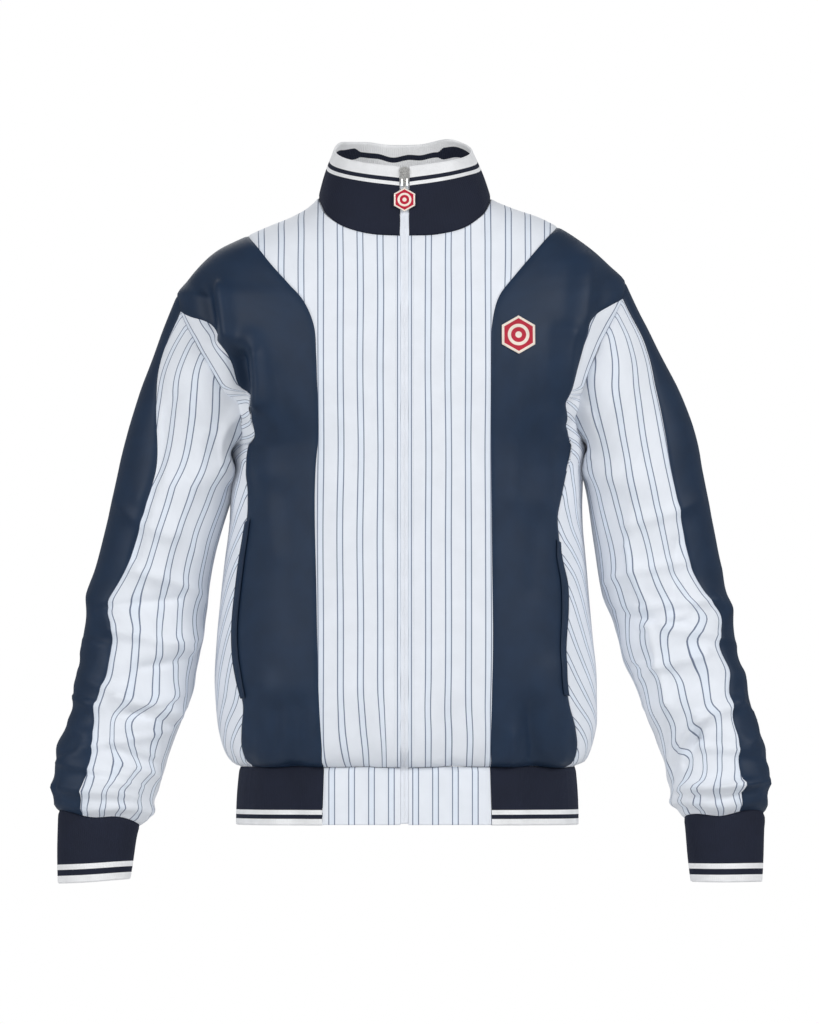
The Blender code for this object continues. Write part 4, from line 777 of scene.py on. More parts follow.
# %% Creases on the torso
# Finer than the main folds, and written in the same way.
TORSO_CREASES = {
    FRONT: [
        (-228, -110, -222, -140, 9, 1.6), (-198, -150, -178, -196, 11, 1.6),
        (-196, -172, -184, -226, 9, -2), (-158, -216, -140, -262, 12, 1.8),
        (-140, -196, -130, -246, 12, -1.6), (-158, -290, -140, -392, 14, 2),
        (-132, -330, -124, -470, 16, -1.6), (-218, -102, -212, -148, 12, -13),
        (-202, -98, -194, -150, 8, 6), (-181, -178, -178, -222, 13, -19),
        (-162, -172, -157, -226, 8, 8), (-140, -562, -142, -612, 9, -4.4),
        (140, -570, 146, -612, 9, -4), (120, -590, 118, -618, 7, 3.2), (203, -78, 198, -130, 9, 3),
        (220, -92, 214, -130, 10, -1.8), (180, -90, 176, -150, 14, -2.2), (183, -150, 178, -216, 9, 3),
        (160, -140, 156, -224, 14, -2.2), (-204, -222, -172, -231, 3.6, -2.6),
        (-204, -238, -172, -249, 3.6, -3), (-200, -252, -174, -268, 3.8, 2.6),
        (204, -214, 176, -226, 3.6, -2.6), (202, -234, 176, -250, 3.6, -3),
        (198, -256, 178, -272, 3.8, 2.4), (128, -176, 118, -330, 14, 2),
        (150, -300, 140, -430, 15, -1.8), (-70, -330, -62, -560, 20, 1.6),
        (62, -300, 58, -520, 22, 1.5), (-20, -120, -60, -60, 14, 1.4), (40, -110, 84, -52, 14, 1.4),
    ],
    BACK: [
        (-150, -100, -165, -235, 9, -5), (150, -92, 166, -230, 9, -5),
        (-120, -190, -60, -120, 16, -2.6), (118, -200, 66, -132, 16, -2.6),
        (-70, -575, -84, -616, 9, -4), (30, -585, 26, -618, 8, -3.6), (110, -560, 118, -614, 9, -4.4),
        (-20, -566, -24, -615, 10, 3.2), (-170, -150, -150, -300, 12, 2.8),
        (-140, -210, -118, -330, 9, -2.4), (168, -140, 148, -300, 12, 2.8),
        (140, -200, 116, -320, 9, -2.4), (-60, -90, 60, -96, 16, 1.6), (-40, -420, -52, -600, 16, 2),
        (66, -400, 74, -600, 18, -2),
    ],
}


def crease_torso(points):
    """How far creases, puckers and slack lift the torso's cloth."""
    x, y, z = np.moveaxis(points, -1, 0)
    rise = np.zeros_like(x)
    for face, rows in TORSO_CREASES.items():
        facing = np.clip(face * y / FACING_DEPTH, 0, 1)
        for *line, width, height in rows:
            near = segment_distance(x, z, *line) / width
            rise += facing * height / (1 + near * near) ** 1.5
    rise += 1.5 * noise(points / (62, 62, 120), 3)
    above = z - HEM_HEIGHT
    low = np.exp(-above / 26) * fade(above, 0, 9)
    puckers = 3.4 * noise(points / (13, 13, 80), 5) + 2.2 * noise(points / (31, 31, 80), 7)
    rise += low * puckers
    neck = fade(z, -70, -36) * np.exp(-((np.abs(x) - 40) / 60) ** 2)
    rise += 0.5 * neck * noise(points / (11, 11, 40), 9)
    return rise


# Small pulls in the front's cloth: from (x, z), to (x, z), and how far that reaches.
NUDGES = [
    (-184, -478, -190.5, -478, 46), (-200, -145, -206, -152, 13), (-180, -203, -187, -213, 13),
    (-171, -213, -164, -224, 13), (-186, -230, -166, -232, 14), (-170, -252, -156, -254, 16),
    (-170, -300, -181, -296, 15), (206, -132, 199, -135, 13), (175, -226, 167, -220, 15),
    (163, -372, 170, -378, 16),
]


# The side cloth hangs away from the body under the arm: level, reach up and down, and how far.
SIDE_SLACK = [(-300, 40, 12.5), (-277, 18, 9.5)]


def pulled(points):
    """The torso's points with the small pulls in its cloth."""
    moved = points.copy()
    for x, z, to_x, to_z, reach in NUDGES:
        away = ((points[..., 0] - x) ** 2 + (points[..., 2] - z) ** 2) / reach**2
        share = np.exp(-away) * fade(-points[..., 1], -5, 5)
        moved[..., 0] += (to_x - x) * share
        moved[..., 2] += (to_z - z) * share
    near = np.linalg.norm(moved - points, axis=-1) > 0.02
    moved[near] = onto_torso(moved[near])
    x, z = moved[..., 0], moved[..., 2]
    for level, reach, amount in SIDE_SLACK:
        slack = amount * np.exp(-(((z - level) / reach) ** 2))
        moved[..., 0] += np.sign(x) * slack * fade(np.abs(x), 164, 184)
    return moved


def drape(points):
    """The torso's cloth with all its folds, at places on the plain form."""
    points = pulled(points)
    lifted = fold_torso(points)
    return lifted + crease_torso(points)[..., None] * unit(torso_slope(points))


print("creases on the torso:", sum(len(rows) for rows in TORSO_CREASES.values()))

# %% Creases on the sleeves
SLEEVE_CREASES = {
    "right": [
        (74, -200, 70, -395, 8, -3.6), (112, -260, 96, -420, 12, 2.6), (150, -262, 186, -250, 6, -2.2),
        (146, -288, 186, -280, 6, 2), (150, -318, 184, -306, 7, -1.8), (60, -330, 130, -392, 13, 2.2),
        (20, -330, 95, -372, 9, 3), (75, -410, 160, -440, 8, 3.2), (40, -452, 120, -440, 7, -3),
        (60, -474, 150, -500, 8.5, 3.6), (95, -516, 175, -498, 6.5, -3.2), (10, -520, 90, -546, 8, 3.4),
        (80, -548, 165, -572, 7.5, 4), (95, -566, 150, -580, 4.5, -3.2), (-30, -560, 60, -590, 8, 3.6),
        (60, -604, 150, -586, 6.5, 3.4), (20, -618, 110, -634, 6, 3.2), (100, -622, 170, -640, 5, 3.2),
        (-60, -628, 20, -650, 7, 3.4), (40, -648, 130, -660, 5, 2.8), (-80, -480, 10, -500, 9, 3),
        (-70, -420, 20, -440, 10, 2.4),
    ],
    "left": [
        (112, -474, 122, -556, 6, 4.4), (116, -384, 110, -440, 7, 3.6), (150, -262, 186, -250, 6, -2.2),
        (146, -286, 186, -276, 6, 2), (150, -314, 184, -304, 7, -1.8), (70, -380, 88, -452, 8, -3.4),
        (112, -400, 98, -300, 12, 2.4), (128, -623, 80, -566, 6, -3.6), (30, -330, 110, -360, 9, 3),
        (70, -400, 160, -424, 8.5, 3.2), (40, -440, 120, -452, 7, 3.2), (80, -470, 165, -452, 6.5, -3),
        (10, -492, 100, -470, 8, 3.4), (70, -500, 160, -530, 8, 3.8), (30, -548, 95, -572, 8, 4.6),
        (95, -572, 165, -624, 8, 3.2), (100, -592, 150, -628, 4.5, -3.6), (-30, -560, 50, -600, 8, 3.6),
        (30, -610, 100, -604, 6, 3), (20, -640, 150, -650, 5.5, 4.4), (20, -651, 150, -662, 3.6, -3.4),
        (-70, -640, 20, -622, 7, 3.4), (-80, -500, 10, -520, 9, 3), (-70, -430, 20, -452, 10, 2.6),
    ],
}
BACK_CREASES = [
    (200, -330, 290, -372, 9, 3), (210, -450, 300, -430, 8, 3.2), (200, -500, 290, -520, 8, 3.4),
    (190, -560, 280, -545, 7, 3.4), (200, -600, 290, -615, 6, 3.2), (210, -640, 290, -632, 5, 3),
]
for rows in SLEEVE_CREASES.values():
    rows += BACK_CREASES
# Tucks: from (turn, z), to (turn, z), height, run and sideways push. The left side of the
# line, going along it, stands proud of the other.
SLEEVE_TUCKS = {
    "right": [
        (112, -490, 172, -482, 4.4, 16, 7), (82, -562, 156, -546, 6, 18, -10),
        (84, -598, 158, -620, 5.4, 15, 8), (146, -652, 68, -638, 5.6, 13, -8),
        (62, -556, -10, -546, 10, 20, 0), (62, -608, 0, -630, 7, 20, 0), (62, -492, 0, -484, 6, 24, 0),
    ],
    "left": [
        (74, -456, 126, -474, 5.6, 16, 7), (144, -624, 74, -556, 7.4, 18, 11),
        (156, -657, 58, -640, 7, 15, -7), (100, -520, 168, -506, 4.4, 16, -6),
        (56, -548, -20, -578, 8, 24, 0), (56, -656, -30, -634, 8, 20, 0),
    ],
}
BACK_TUCKS = [
    (280, -560, 200, -572, 3.6, 18, 6), (200, -640, 290, -628, 3.6, 14, -5),
]
for rows in SLEEVE_TUCKS.values():
    rows += BACK_TUCKS
TURN_LENGTH = 1.05  # along the cloth for one degree of turn
SLEEVE_CREASE_SCALE = 1.5
CAP_ROWS_FADE = 0.55
FOOT_PUFF = 4.6


def calm(turn):
    """Folds are lower where they would cut into the sleeve's outline."""
    return 0.16 + 0.84 * np.abs(np.sin(np.radians(turn))) ** 0.9


def tucked(side, turn, z):
    """How far tucks lift the sleeve's cloth, and how far they push it sideways."""
    lift, push = np.zeros_like(z), np.zeros_like(z)
    for from_turn, from_z, to_turn, to_z, height, run, shift in SLEEVE_TUCKS[side]:
        run_x, run_z = (to_turn - from_turn) * TURN_LENGTH, to_z - from_z
        length = math.hypot(run_x, run_z)
        x, level = (turn - from_turn) * TURN_LENGTH, z - from_z
        along = (x * run_x + level * run_z) / length**2
        beside = (level * run_x - x * run_z) / length + 3 * np.sin(3.1 * along)
        window = fade(along, -0.12, 0.22) * fade(-along, -1.12, -0.78)
        proud = fade(beside, -3.4, 2.6) * np.exp(-np.maximum(beside, 0) / run)
        lift += height * window * proud
        push += shift * window * fade(beside, -17, 13) * np.exp(-np.maximum(beside, 0) / 26)
    return lift * calm(turn), push


def crease_sleeve(side, around, down, points):
    """How far creases, gathers and slack lift the sleeve's cloth."""
    z = points[..., 2]
    turn = (around + 90) % 360 - 90
    rise = np.zeros_like(z)
    for from_turn, from_z, to_turn, to_z, width, height in SLEEVE_CREASES[side]:
        line = (from_turn * TURN_LENGTH, from_z, to_turn * TURN_LENGTH, to_z)
        for shift in (0, 360, -360):
            near = segment_distance((turn + shift) * TURN_LENGTH, z, *line) / width
            rise += height / (1 + near * near) ** 1.8
    rise *= SLEEVE_CREASE_SCALE * calm(turn)
    rise += tucked(side, turn, z)[0]
    round_noise = np.stack([np.cos(np.radians(around)), np.sin(np.radians(around)), z / 60], -1)
    slack = fade(-z, 360, 600)
    rise += (0.8 + 1.4 * slack) * noise(round_noise * (1.3, 1.3, 1.4), 11)
    rise += (0.2 + 0.4 * slack) * noise(round_noise * (2.6, 2.6, 3.4), 13)
    foot = SLEEVE_TABLE[side]["height"][0]
    above = z - foot
    puff = np.exp(-(((above - 9) / 8) ** 2)) * fade(above, 0, 5)
    rise += FOOT_PUFF * puff * (1 + 0.35 * noise(round_noise * (2.2, 2.2, 0.3), 19))
    gathers = np.exp(-above / 15) * fade(above, 0, 5)
    rise += 2.6 * gathers * noise(round_noise * (6, 6, 0.3), 17)
    return rise * fade(down, 0.05, CAP_ROWS_FADE) * fade(2 - down, 0, 0.03)


# How the gathered foot sits on its cuff: wider inside and outside, raised inside and
# outside, and its seam's wave and phase.
SLEEVE_SEAT = {"right": (9, 0.5, 3, 2.5, 2.6, 0.9), "left": (4.5, 2.5, 7.5, -1.5, 3, -0.4)}


def seated(side, points, reach):
    """Points near a sleeve's foot, moved to where the gathers sit."""
    wide_in, wide_out, up_in, up_out, wave, phase = SLEEVE_SEAT[side]
    table = SLEEVE_TABLE[side]
    x = SIDES[side] * points[..., 0] - table["out"][0]
    y = -points[..., 1] - table["forward"][0]
    across = np.clip(x / table["half_width"][0], -1, 1)
    inner, outer = 0.5 - 0.5 * across, 0.5 + 0.5 * across
    share = np.exp(-np.abs(points[..., 2] - table["height"][0]) / reach)
    turn = np.arctan2(y, x)
    moved = points.copy()
    moved[..., 0] += SIDES[side] * share * (wide_out * outer**2 - wide_in * inner**2)
    rise = up_in * inner + up_out * outer + wave * np.sin(3 * turn + phase)
    moved[..., 2] += rise * np.exp(-np.abs(points[..., 2] - table["height"][0]) / 24)
    return moved


# Where gathers sway the stripes: turn, level, reach round and along, and how far.
SLEEVE_SWAYS = {
    "right": [
        (112, -576, 44, 17, 12), (116, -622, 44, 17, -11), (106, -651, 40, 11, 8),
    ],
    "left": [
        (104, -448, 50, 24, 3.5), (112, -492, 46, 22, -4), (128, -622, 30, 18, 5),
    ],
}
feet = {}


def sleeve_surface(side, start, start_turn, around, down_share):
    """The sleeve's cloth: from its line of points at the armhole to its foot."""
    table = SLEEVE_TABLE[side]
    top, foot = table["height"][-1], table["height"][0]
    height = top + (foot - top) * np.clip(down_share - 1, 0, 1)
    lower, down = sleeve_ring(side, around, height)
    reach = np.linalg.norm(lower - start, axis=-1, keepdims=True)
    turn = np.radians(start_turn)
    away = np.stack(
        [SIDES[side] * (0.8 - 0.43 * np.cos(turn)), -0.32 * np.sin(turn), np.full_like(turn, -0.88)],
        axis=-1,
    )
    t = np.clip(down_share, 0, 1)[..., None]
    t2, t3 = t * t, t * t * t
    cap = (2 * t3 - 3 * t2 + 1) * start + (3 * t2 - 2 * t3) * lower
    cap = cap + (t3 - 2 * t2 + t) * unit(away) * reach + (t3 - t2) * down * reach
    points = np.where((down_share < 1)[..., None], cap, lower)
    middle = sleeve_axis(side, np.minimum(points[..., 2], top))
    middle[..., 2] = points[..., 2]
    outward = unit(points - middle)
    main = np.zeros_like(down_share)
    for turn, level, reach_round, width, slant, lift in SLEEVE_FOLDS[side]:
        off = (around - turn + 180) % 360 - 180
        away_from = points[..., 2] - level + slant * off / 90
        main += lift * np.exp(-((off / reach_round) ** 2) - (away_from / width) ** 2)
    main *= np.clip(down_share / 0.5, 0, 1) * np.clip((2 - down_share) / 0.06, 0, 1)
    rise = main + crease_sleeve(side, around, down_share, points)
    return points + rise[..., None] * outward


print("creases on the sleeves:", sum(len(rows) for rows in SLEEVE_CREASES.values()))

# %% [markdown]
# ## From a grid of points to a closed shell
#
# A single sheet would vanish seen edge on, and a Solidify modifier knows nothing about seams. So each
# shell is written straight from its grid: an outer face, an inner face one wall below, and a rim
# between them. Along a sewn edge the cloth dips and draws back a hair, which makes it read as a seam. A
# free edge is rounded. The UV map holds real distances along the cloth, for stripes and ribs.

# %% Distances and directions on a grid
CLOTH_WALL = 1.8
RIB_WALL = 3
SEAM_DRAW = 0.03
SEAM_DIP = 1.1
SEAM_REACH = 2.4


def is_pointed(grid):
    return bool(np.ptp(grid[-1], axis=0).max() < 1e-6)


def grid_normals(grid, wrap=False):
    """Unit normals of a grid, from its neighbours' differences."""
    if wrap:
        padded = np.concatenate([grid[:, -2:-1], grid, grid[:, 1:2]], axis=1)
        across = np.gradient(padded, axis=1)[:, 1:-1]
    else:
        across = np.gradient(grid, axis=1)
    normals = unit(np.cross(across, np.gradient(grid, axis=0)))
    if is_pointed(grid):
        normals[-1] = unit(normals[-3].sum(axis=0))
    return normals


def lengths_along(grid, axis):
    """The way along the cloth from a grid's first row or column, in millimetres."""
    steps = np.linalg.norm(np.diff(grid, axis=axis), axis=-1)
    start = np.zeros_like(np.take(steps, [0], axis=axis))
    return np.concatenate([start, np.cumsum(steps, axis=axis)], axis=axis)


def edge_distances(grid):
    """How far every point is from each of the four edges, along the cloth."""
    up, across = lengths_along(grid, 0), lengths_along(grid, 1)
    return {"bottom": up, "top": up[-1:] - up, "start": across, "end": across[:, -1:] - across}


def sink_seams(grid, sewn, ways, dip=SEAM_DIP):
    """Draws a piece's sewn edges back a hair and dips the cloth beside them.

    The ways are the same on both sides of a seam, so its two edges stay together.
    """
    distances = edge_distances(grid)
    moved = grid.copy()
    sides = {"bottom": (np.s_[0], np.s_[1]), "top": (np.s_[-1], np.s_[-2]),
             "start": (np.s_[:, 0], np.s_[:, 1]), "end": (np.s_[:, -1], np.s_[:, -2])}
    depth = np.zeros(grid.shape[:2])
    for name in sewn:
        edge, inside = sides[name]
        depth = np.maximum(depth, dip * np.exp(-((distances[name] / SEAM_REACH) ** 2)))
        if not (name == "top" and is_pointed(grid)):
            moved[edge] = moved[edge] + SEAM_DRAW * unit(grid[inside] - grid[edge])
    return moved - depth[..., None] * ways


# %% A mesh from a grid
def border_loop(rows, count, wrap):
    """The grid's border as runs of (row, column), in the order of its faces."""
    bottom = [(0, k) for k in range(count)]
    top = [(rows - 1, k) for k in reversed(range(count))]
    if wrap:
        return [bottom, top]
    right = [(row, count - 1) for row in range(1, rows - 1)]
    left = [(row, 0) for row in reversed(range(1, rows - 1))]
    return [bottom + right + top + left + bottom[:1]]


def shell(name, outer, wall, uv, inner_uv, wrap=False, bulge=None, normals=None):
    """A closed shell from an outer grid; the inner face lies one wall below it."""
    rows, count = outer.shape[:2]
    normals = grid_normals(outer, wrap) if normals is None else normals
    inner = outer - wall * normals
    total = rows * count
    number = np.arange(total).reshape(rows, count)
    a, b = number[:-1, :-1].ravel(), number[:-1, 1:].ravel()
    c, d = number[1:, 1:].ravel(), number[1:, :-1].ravel()
    faces = [np.stack([a, b, c, d], 1), np.stack([d, c, b, a], 1) + total]
    points = [outer.reshape(-1, 3), inner.reshape(-1, 3)]
    maps = [uv.reshape(-1, 2), inner_uv.reshape(-1, 2)]
    first = 2 * total
    for run in border_loop(rows, count, wrap):
        place = tuple(np.array(run).T)
        swell = 0 if bulge is None else bulge[place][:, None]
        inside = (np.clip(place[0], 1, rows - 2), np.clip(place[1], 1, count - 2))
        if wrap:
            inside = (inside[0], place[1])
        away = outer[place] - outer[inside]
        away = unit(away - dot(away, normals[place]) * normals[place])
        points.append(0.5 * (outer[place] + inner[place]) + swell * away)
        maps.append(0.5 * (uv[place] + inner_uv[place]))
        rim = number[place]
        middle = first + np.arange(len(run))
        faces.append(np.stack([rim[1:], rim[:-1], middle[:-1], middle[1:]], 1))
        faces.append(np.stack([middle[1:], middle[:-1], rim[:-1] + total, rim[1:] + total], 1))
        first += len(run)
    return mesh_object(name, np.concatenate(points), np.concatenate(faces), np.concatenate(maps))


def mesh_object(name, points, faces, maps):
    """An object from points in millimetres and four-sided faces; doubles are merged."""
    mesh = bpy.data.meshes.new(name)
    mesh.vertices.add(len(points))
    mesh.vertices.foreach_set("co", (points * MM).ravel())
    mesh.loops.add(faces.size)
    mesh.loops.foreach_set("vertex_index", faces.ravel().astype(np.int32))
    mesh.polygons.add(len(faces))
    mesh.polygons.foreach_set("loop_start", np.arange(0, faces.size, 4, dtype=np.int32))
    mesh.update(calc_edges=True)
    cloth = mesh.uv_layers.new(name="cloth")
    cloth.data.foreach_set("uv", (maps[faces.ravel()] * MM).ravel())
    form = bmesh.new()
    form.from_mesh(mesh)
    bmesh.ops.remove_doubles(form, verts=form.verts, dist=1e-6)
    bmesh.ops.dissolve_degenerate(form, edges=form.edges, dist=1e-7)
    form.to_mesh(mesh)
    form.free()
    mesh.shade_smooth()
    item = bpy.data.objects.new(name, mesh)
    bpy.context.scene.collection.objects.link(item)
    return item


# %% Which way is out, and how big the flat piece was
def middle_of(name, grid):
    """Points inside the garment, level with the grid, for telling out from in."""
    middle = grid.copy()
    if name.startswith(("sleeve", "cuff")):
        side = name.split("_")[2] if name.startswith("sleeve") else name.split("_")[1]
        level = np.clip(grid[..., 2], *SLEEVE_TABLE[side]["height"][[0, -1]])
        middle[..., :2] = sleeve_axis(side, level)[..., :2]
    else:
        middle[..., :2] = 0
    return middle


def faces_inward(name, grid, wrap=False):
    return np.sum(grid_normals(grid, wrap) * (grid - middle_of(name, grid))) < 0


def flat_size(grid):
    """The cloth's width, length and area before it was sewn, in metres and square metres."""
    across = float(lengths_along(grid, 1)[:, -1].max()) * MM
    along = float(lengths_along(grid, 0)[-1].max()) * MM
    cells = np.cross(grid[1:, 1:] - grid[:-1, :-1], grid[1:, :-1] - grid[:-1, 1:])
    area = float(0.5 * np.linalg.norm(cells, axis=-1).sum()) * MM * MM
    return across, along, min(area, across * along)


pieces = {}


def cloth_piece(node, grid, uv, sewn, ways, wall=CLOTH_WALL, wrap=False, free=0):
    inner_uv = uv * (1, -1) if free > 0.5 else uv
    if node == "collar":
        inner_uv = collar_lining_uv_with_painted_shade(grid, uv)
    if faces_inward(node, grid, wrap):
        grid, uv, inner_uv, ways = grid[:, ::-1], uv[:, ::-1], inner_uv[:, ::-1], ways[:, ::-1]
        swap = {"start": "end", "end": "start"}
        sewn = [swap.get(name, name) for name in sewn]
    distances = edge_distances(grid)
    bulge = np.full(grid.shape[:2], 0.0)
    for name, distance in distances.items():
        if name not in sewn:
            bulge = np.where(distance < 1e-6, free, bulge)
    sunk = sink_seams(grid, sewn, ways)
    item = shell(node + "_cloth", sunk, wall, uv, inner_uv, wrap, bulge)
    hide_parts(node)
    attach(item, "jacket")
    pieces[node] = item
    return item


# %% [markdown]
# ## The body's panels
#
# The centre panels are striped along their length, so the stripe's measure is how far a place is from
# the centre line. The side panels are cut on a slant, and beside the armhole their stripes follow the
# seam. Each panel's UV map carries that measure, so one material serves them all.

# %% The panels' fine grids
ROW_STEPS = 6
COLUMN_STEPS = 5
SLANT = math.radians(37)
STRIPE_FIRST, STRIPE_PITCH = 4.5, 21.8
BACK_SHIFT = STRIPE_PITCH / 2 - STRIPE_FIRST

fine = {}
flat_places = {}
for name, grid in coarse.items():
    rows = fine_places(grid.shape[0] - 1, ROW_STEPS)
    across = fine_places(grid.shape[1] - 1, COLUMN_STEPS)
    plain = fine_grid(grid, rows, across, CORNERS.get(name, {}))
    if is_pointed(grid):
        plain[-1] = plain[-1].mean(axis=0)
    flat_places[name] = plain
    fine[name] = drape(plain)
print("points on the body's cloth:", sum(grid.shape[0] * grid.shape[1] for grid in fine.values()))


# %% The stripes' measure on each panel
def panel_uv(name, plain):
    """Across the stripes and along them, in millimetres."""
    x, _, z = np.moveaxis(plain, -1, 0)
    low = fade(-z, 520, 640)
    wander = 1.1 * noise(plain / (40, 40, 95), 21) + low * 4 * noise(plain / (34, 34, 42), 23)
    if name.startswith("front_centre"):
        lean = 7 * fade(-z, 540, 625) * fade(-x, 8, 30) * fade(x, -92, -60)
        pinned = fade(np.abs(x), 8, 24)
        return np.stack([np.abs(x) + lean + wander * pinned, z], -1)
    if name == "back_centre":
        return np.stack([x - BACK_SHIFT + wander, z], -1)
    across = lengths_along(plain, 1)
    if name.startswith("side_"):
        from_hole = across[:, -1:] - across
        bunched = 1.1 * np.maximum(z + 292, 0)
        slanted = across * math.cos(SLANT) + z * math.sin(SLANT) + bunched
        upper = fade(z, -228, -204)
        return np.stack([slanted * (1 - upper) + from_hole * upper + 1.3 + wander, z], -1)
    return np.stack([across, z], -1)


for name, grid in fine.items():
    sewn = ["bottom", "top", "start", "end"]
    if name.startswith("front_centre"):
        sewn = ["bottom", "top", "end"]
    ways = unit(torso_slope(flat_places[name]))
    cloth_piece(name, grid, panel_uv(name, flat_places[name]), sewn, ways, free=0.3)
print("body panels:", len(pieces))

# %% [markdown]
# ## The sleeves
#
# Each sleeve is a dark outer strip and a striped piece round the rest of the arm. Both start on the
# body's own armhole line, so no gap can open there. The stripes run beside the strip's front seam.
# Folds push the cloth sideways as well as out, and a shift in the stripes' measure draws that.

# %% The sleeves' fine grids
SLEEVE_STEPS = 6
cap = fine_places(CAP_ROWS, SLEEVE_STEPS) / CAP_ROWS
arm = 1 + np.linspace(0, 1, ARM_ROWS * SLEEVE_STEPS + 1)[1:]
arm = np.concatenate([arm[:-1], 2 - np.array(EDGE_STEPS)[::-1] / ARM_ROWS / SLEEVE_STEPS, [2]])
down = np.concatenate([cap, arm])[:, None]
SEAT_REACH = 11


def sleeve_piece(side, turns, around):
    """A piece of the sleeve, from its turns at the armhole and its turns further down."""
    level = 0 * around
    start = drape(armhole(side, turns)) + level[..., None]
    return sleeve_surface(side, start, turns + level, around, down + level)


for side in SIDES:
    front, back = (read(STRIP_TABLE[side], name, down) for name in ("front_seam", "back_seam"))
    share = fine_places(OUTER_COLUMNS, SLEEVE_STEPS) / OUTER_COLUMNS
    outer = sleeve_piece(side, JUNCTION * (2 * share - 1), back + (front - back) * share)
    share = fine_places(UNDER_COLUMNS, SLEEVE_STEPS) / UNDER_COLUMNS
    half = armhole_turns(side, WEDGE_SPANS)
    keys = np.concatenate([half, 360 - half[::-1][1:]])
    turns = np.interp(share * UNDER_COLUMNS, np.arange(len(keys)), keys)
    under = sleeve_piece(side, turns, front + (back + 360 - front) * share)
    feet[side] = joined(outer[-1], under[-1])
    fine[f"sleeve_outer_{side}"] = seated(side, outer, SEAT_REACH)
    fine[f"sleeve_under_{side}"] = seated(side, under, SEAT_REACH)
print("points round a sleeve:", fine["sleeve_under_left"].shape[1])


# %% The sleeves' stripes and shells
SEAM_CURVE_DEGREE = 2
SLEEVE_SKEW = {"right": 0.24, "left": 0.02}
ARC_STEPS = 28


def girth_place(side, grid):
    """How far round the sleeve each place is from its front line, at its own level."""
    table = SLEEVE_TABLE[side]
    z, top = grid[..., 2], table["height"][-1]
    level = np.minimum(z, top)
    middle = sleeve_axis(side, level)
    out = SIDES[side] * middle[..., 0] - 0.26 * np.maximum(z - top, 0)
    wide, deep = (read(table, name, level) for name in ("half_width", "half_depth"))
    x, y = SIDES[side] * grid[..., 0] - out, middle[..., 1] - grid[..., 1]
    angle = np.mod(np.arctan2(y / deep, x / wide), 2 * math.pi) - 0.5 * math.pi
    total = 0
    for step in range(ARC_STEPS):
        t = 0.5 * math.pi + angle * (step + 0.5) / ARC_STEPS
        total = total + np.hypot(wide * np.sin(t), deep * np.cos(t))
    return total * angle / ARC_STEPS


def sleeve_uv(side, grid):
    """Across and along the sleeve's stripes, with the drift that its folds give them."""
    z, place = grid[..., 2], girth_place(side, grid)
    order = np.argsort(z[:, 0])
    levels, seam = z[order, 0], place[order, 0]
    from_seam = place - np.interp(z, levels, seam)
    curve = np.polynomial.Polynomial.fit(levels, seam, SEAM_CURVE_DEGREE)
    astray = (curve(z) - np.interp(z, levels, seam)) * fade(-z, 330, 400)
    measure = from_seam - astray * fade(from_seam, 6, 64)
    skew = SLEEVE_SKEW[side] * np.maximum(z + 318, 0)
    share = lengths_along(grid, 1)
    share = share / share[:, -1:]
    seam_turn = STRIP_TABLE[side]["front_seam"][-1]
    turn = seam_turn + share * (360 - 2 * seam_turn)
    push = tucked(side, turn, z)[1]
    low = fade(-z, 470, 640)
    wild = fade(from_seam, 20, 95)
    wander = (0.5 + 7.5 * low * wild) * noise(grid / (38, 38, 24), 27) * fade(from_seam, 4, 30)
    near_foot = np.exp(-(z - SLEEVE_TABLE[side]["height"][0]) / 16)
    wander += 4 * near_foot * noise(grid / (11, 11, 14), 29)
    for at, level, reach, tall, amount in SLEEVE_SWAYS[side]:
        sway = amount * np.exp(-(((turn - at) / reach) ** 2) - (((z - level) / tall) ** 2))
        wander += sway * fade(from_seam, 4, 42)
    return np.stack([measure - skew + push + wander + 1.5, lengths_along(grid, 0)], -1)


def sleeve_ways(side, grid):
    """The way out of the sleeve; at the armhole it is the body's own."""
    middle = sleeve_axis(side, np.minimum(grid[..., 2], SLEEVE_TABLE[side]["height"][-1]))
    middle[..., 2] = grid[..., 2]
    first = unit(torso_slope(grid[:1] + 0)) + 0 * grid
    share = fade(lengths_along(grid, 0), 0, 60)[..., None]
    return unit(unit(grid - middle) * share + first * (1 - share))


for side in SIDES:
    outer, under = fine[f"sleeve_outer_{side}"], fine[f"sleeve_under_{side}"]
    plain_uv = np.stack([lengths_along(outer, 1), lengths_along(outer, 0)], -1)
    everywhere = ["bottom", "top", "start", "end"]
    cloth_piece(f"sleeve_outer_{side}", outer, plain_uv, everywhere, sleeve_ways(side, outer))
    ways = sleeve_ways(side, under)
    cloth_piece(f"sleeve_under_{side}", under, sleeve_uv(side, under), everywhere, ways)
print("sleeve pieces:", 4)

# %% [markdown]
# ## Ribbed cuffs, waistband and collar
#
# Rib knit is a row of soft cords that grip the wrist and the waist. Cords this wide show at the edges,
# so they are in the mesh: a rounded wave, its points set by the rib's own pitch. The tipping, the pale
# lines round each free edge, is knitted in, so it is only a colour, measured from that edge.

# %% Ribs as a wave across the cloth
RIB_PITCH = 2.3
RIB_DEPTH = 0.32
RIB_POINTS = 4


def rib_points(line):
    """How many steps the cords along a line need, and the line's length."""
    length = np.linalg.norm(np.diff(line, axis=0), axis=-1).sum()
    return int(round(length / RIB_PITCH)) * RIB_POINTS, length


def ribbed(low, high, length, rows, swell, wrap=False):
    """A ribbed grid between two lines of equally many points; rows are shares upwards."""
    share = rows[:, None, None]
    grid = low[None] * (1 - share) + high[None] * share
    wave = np.abs(np.sin(np.pi * np.arange(len(low)) / RIB_POINTS + 0.4)) ** 0.8
    rise = RIB_DEPTH * (wave[None] - 1) + swell * np.sin(np.pi * rows)[:, None]
    across = np.linspace(0, length, len(low))[None] + 0 * rows[:, None]
    return grid, grid_normals(grid, wrap), rise, across


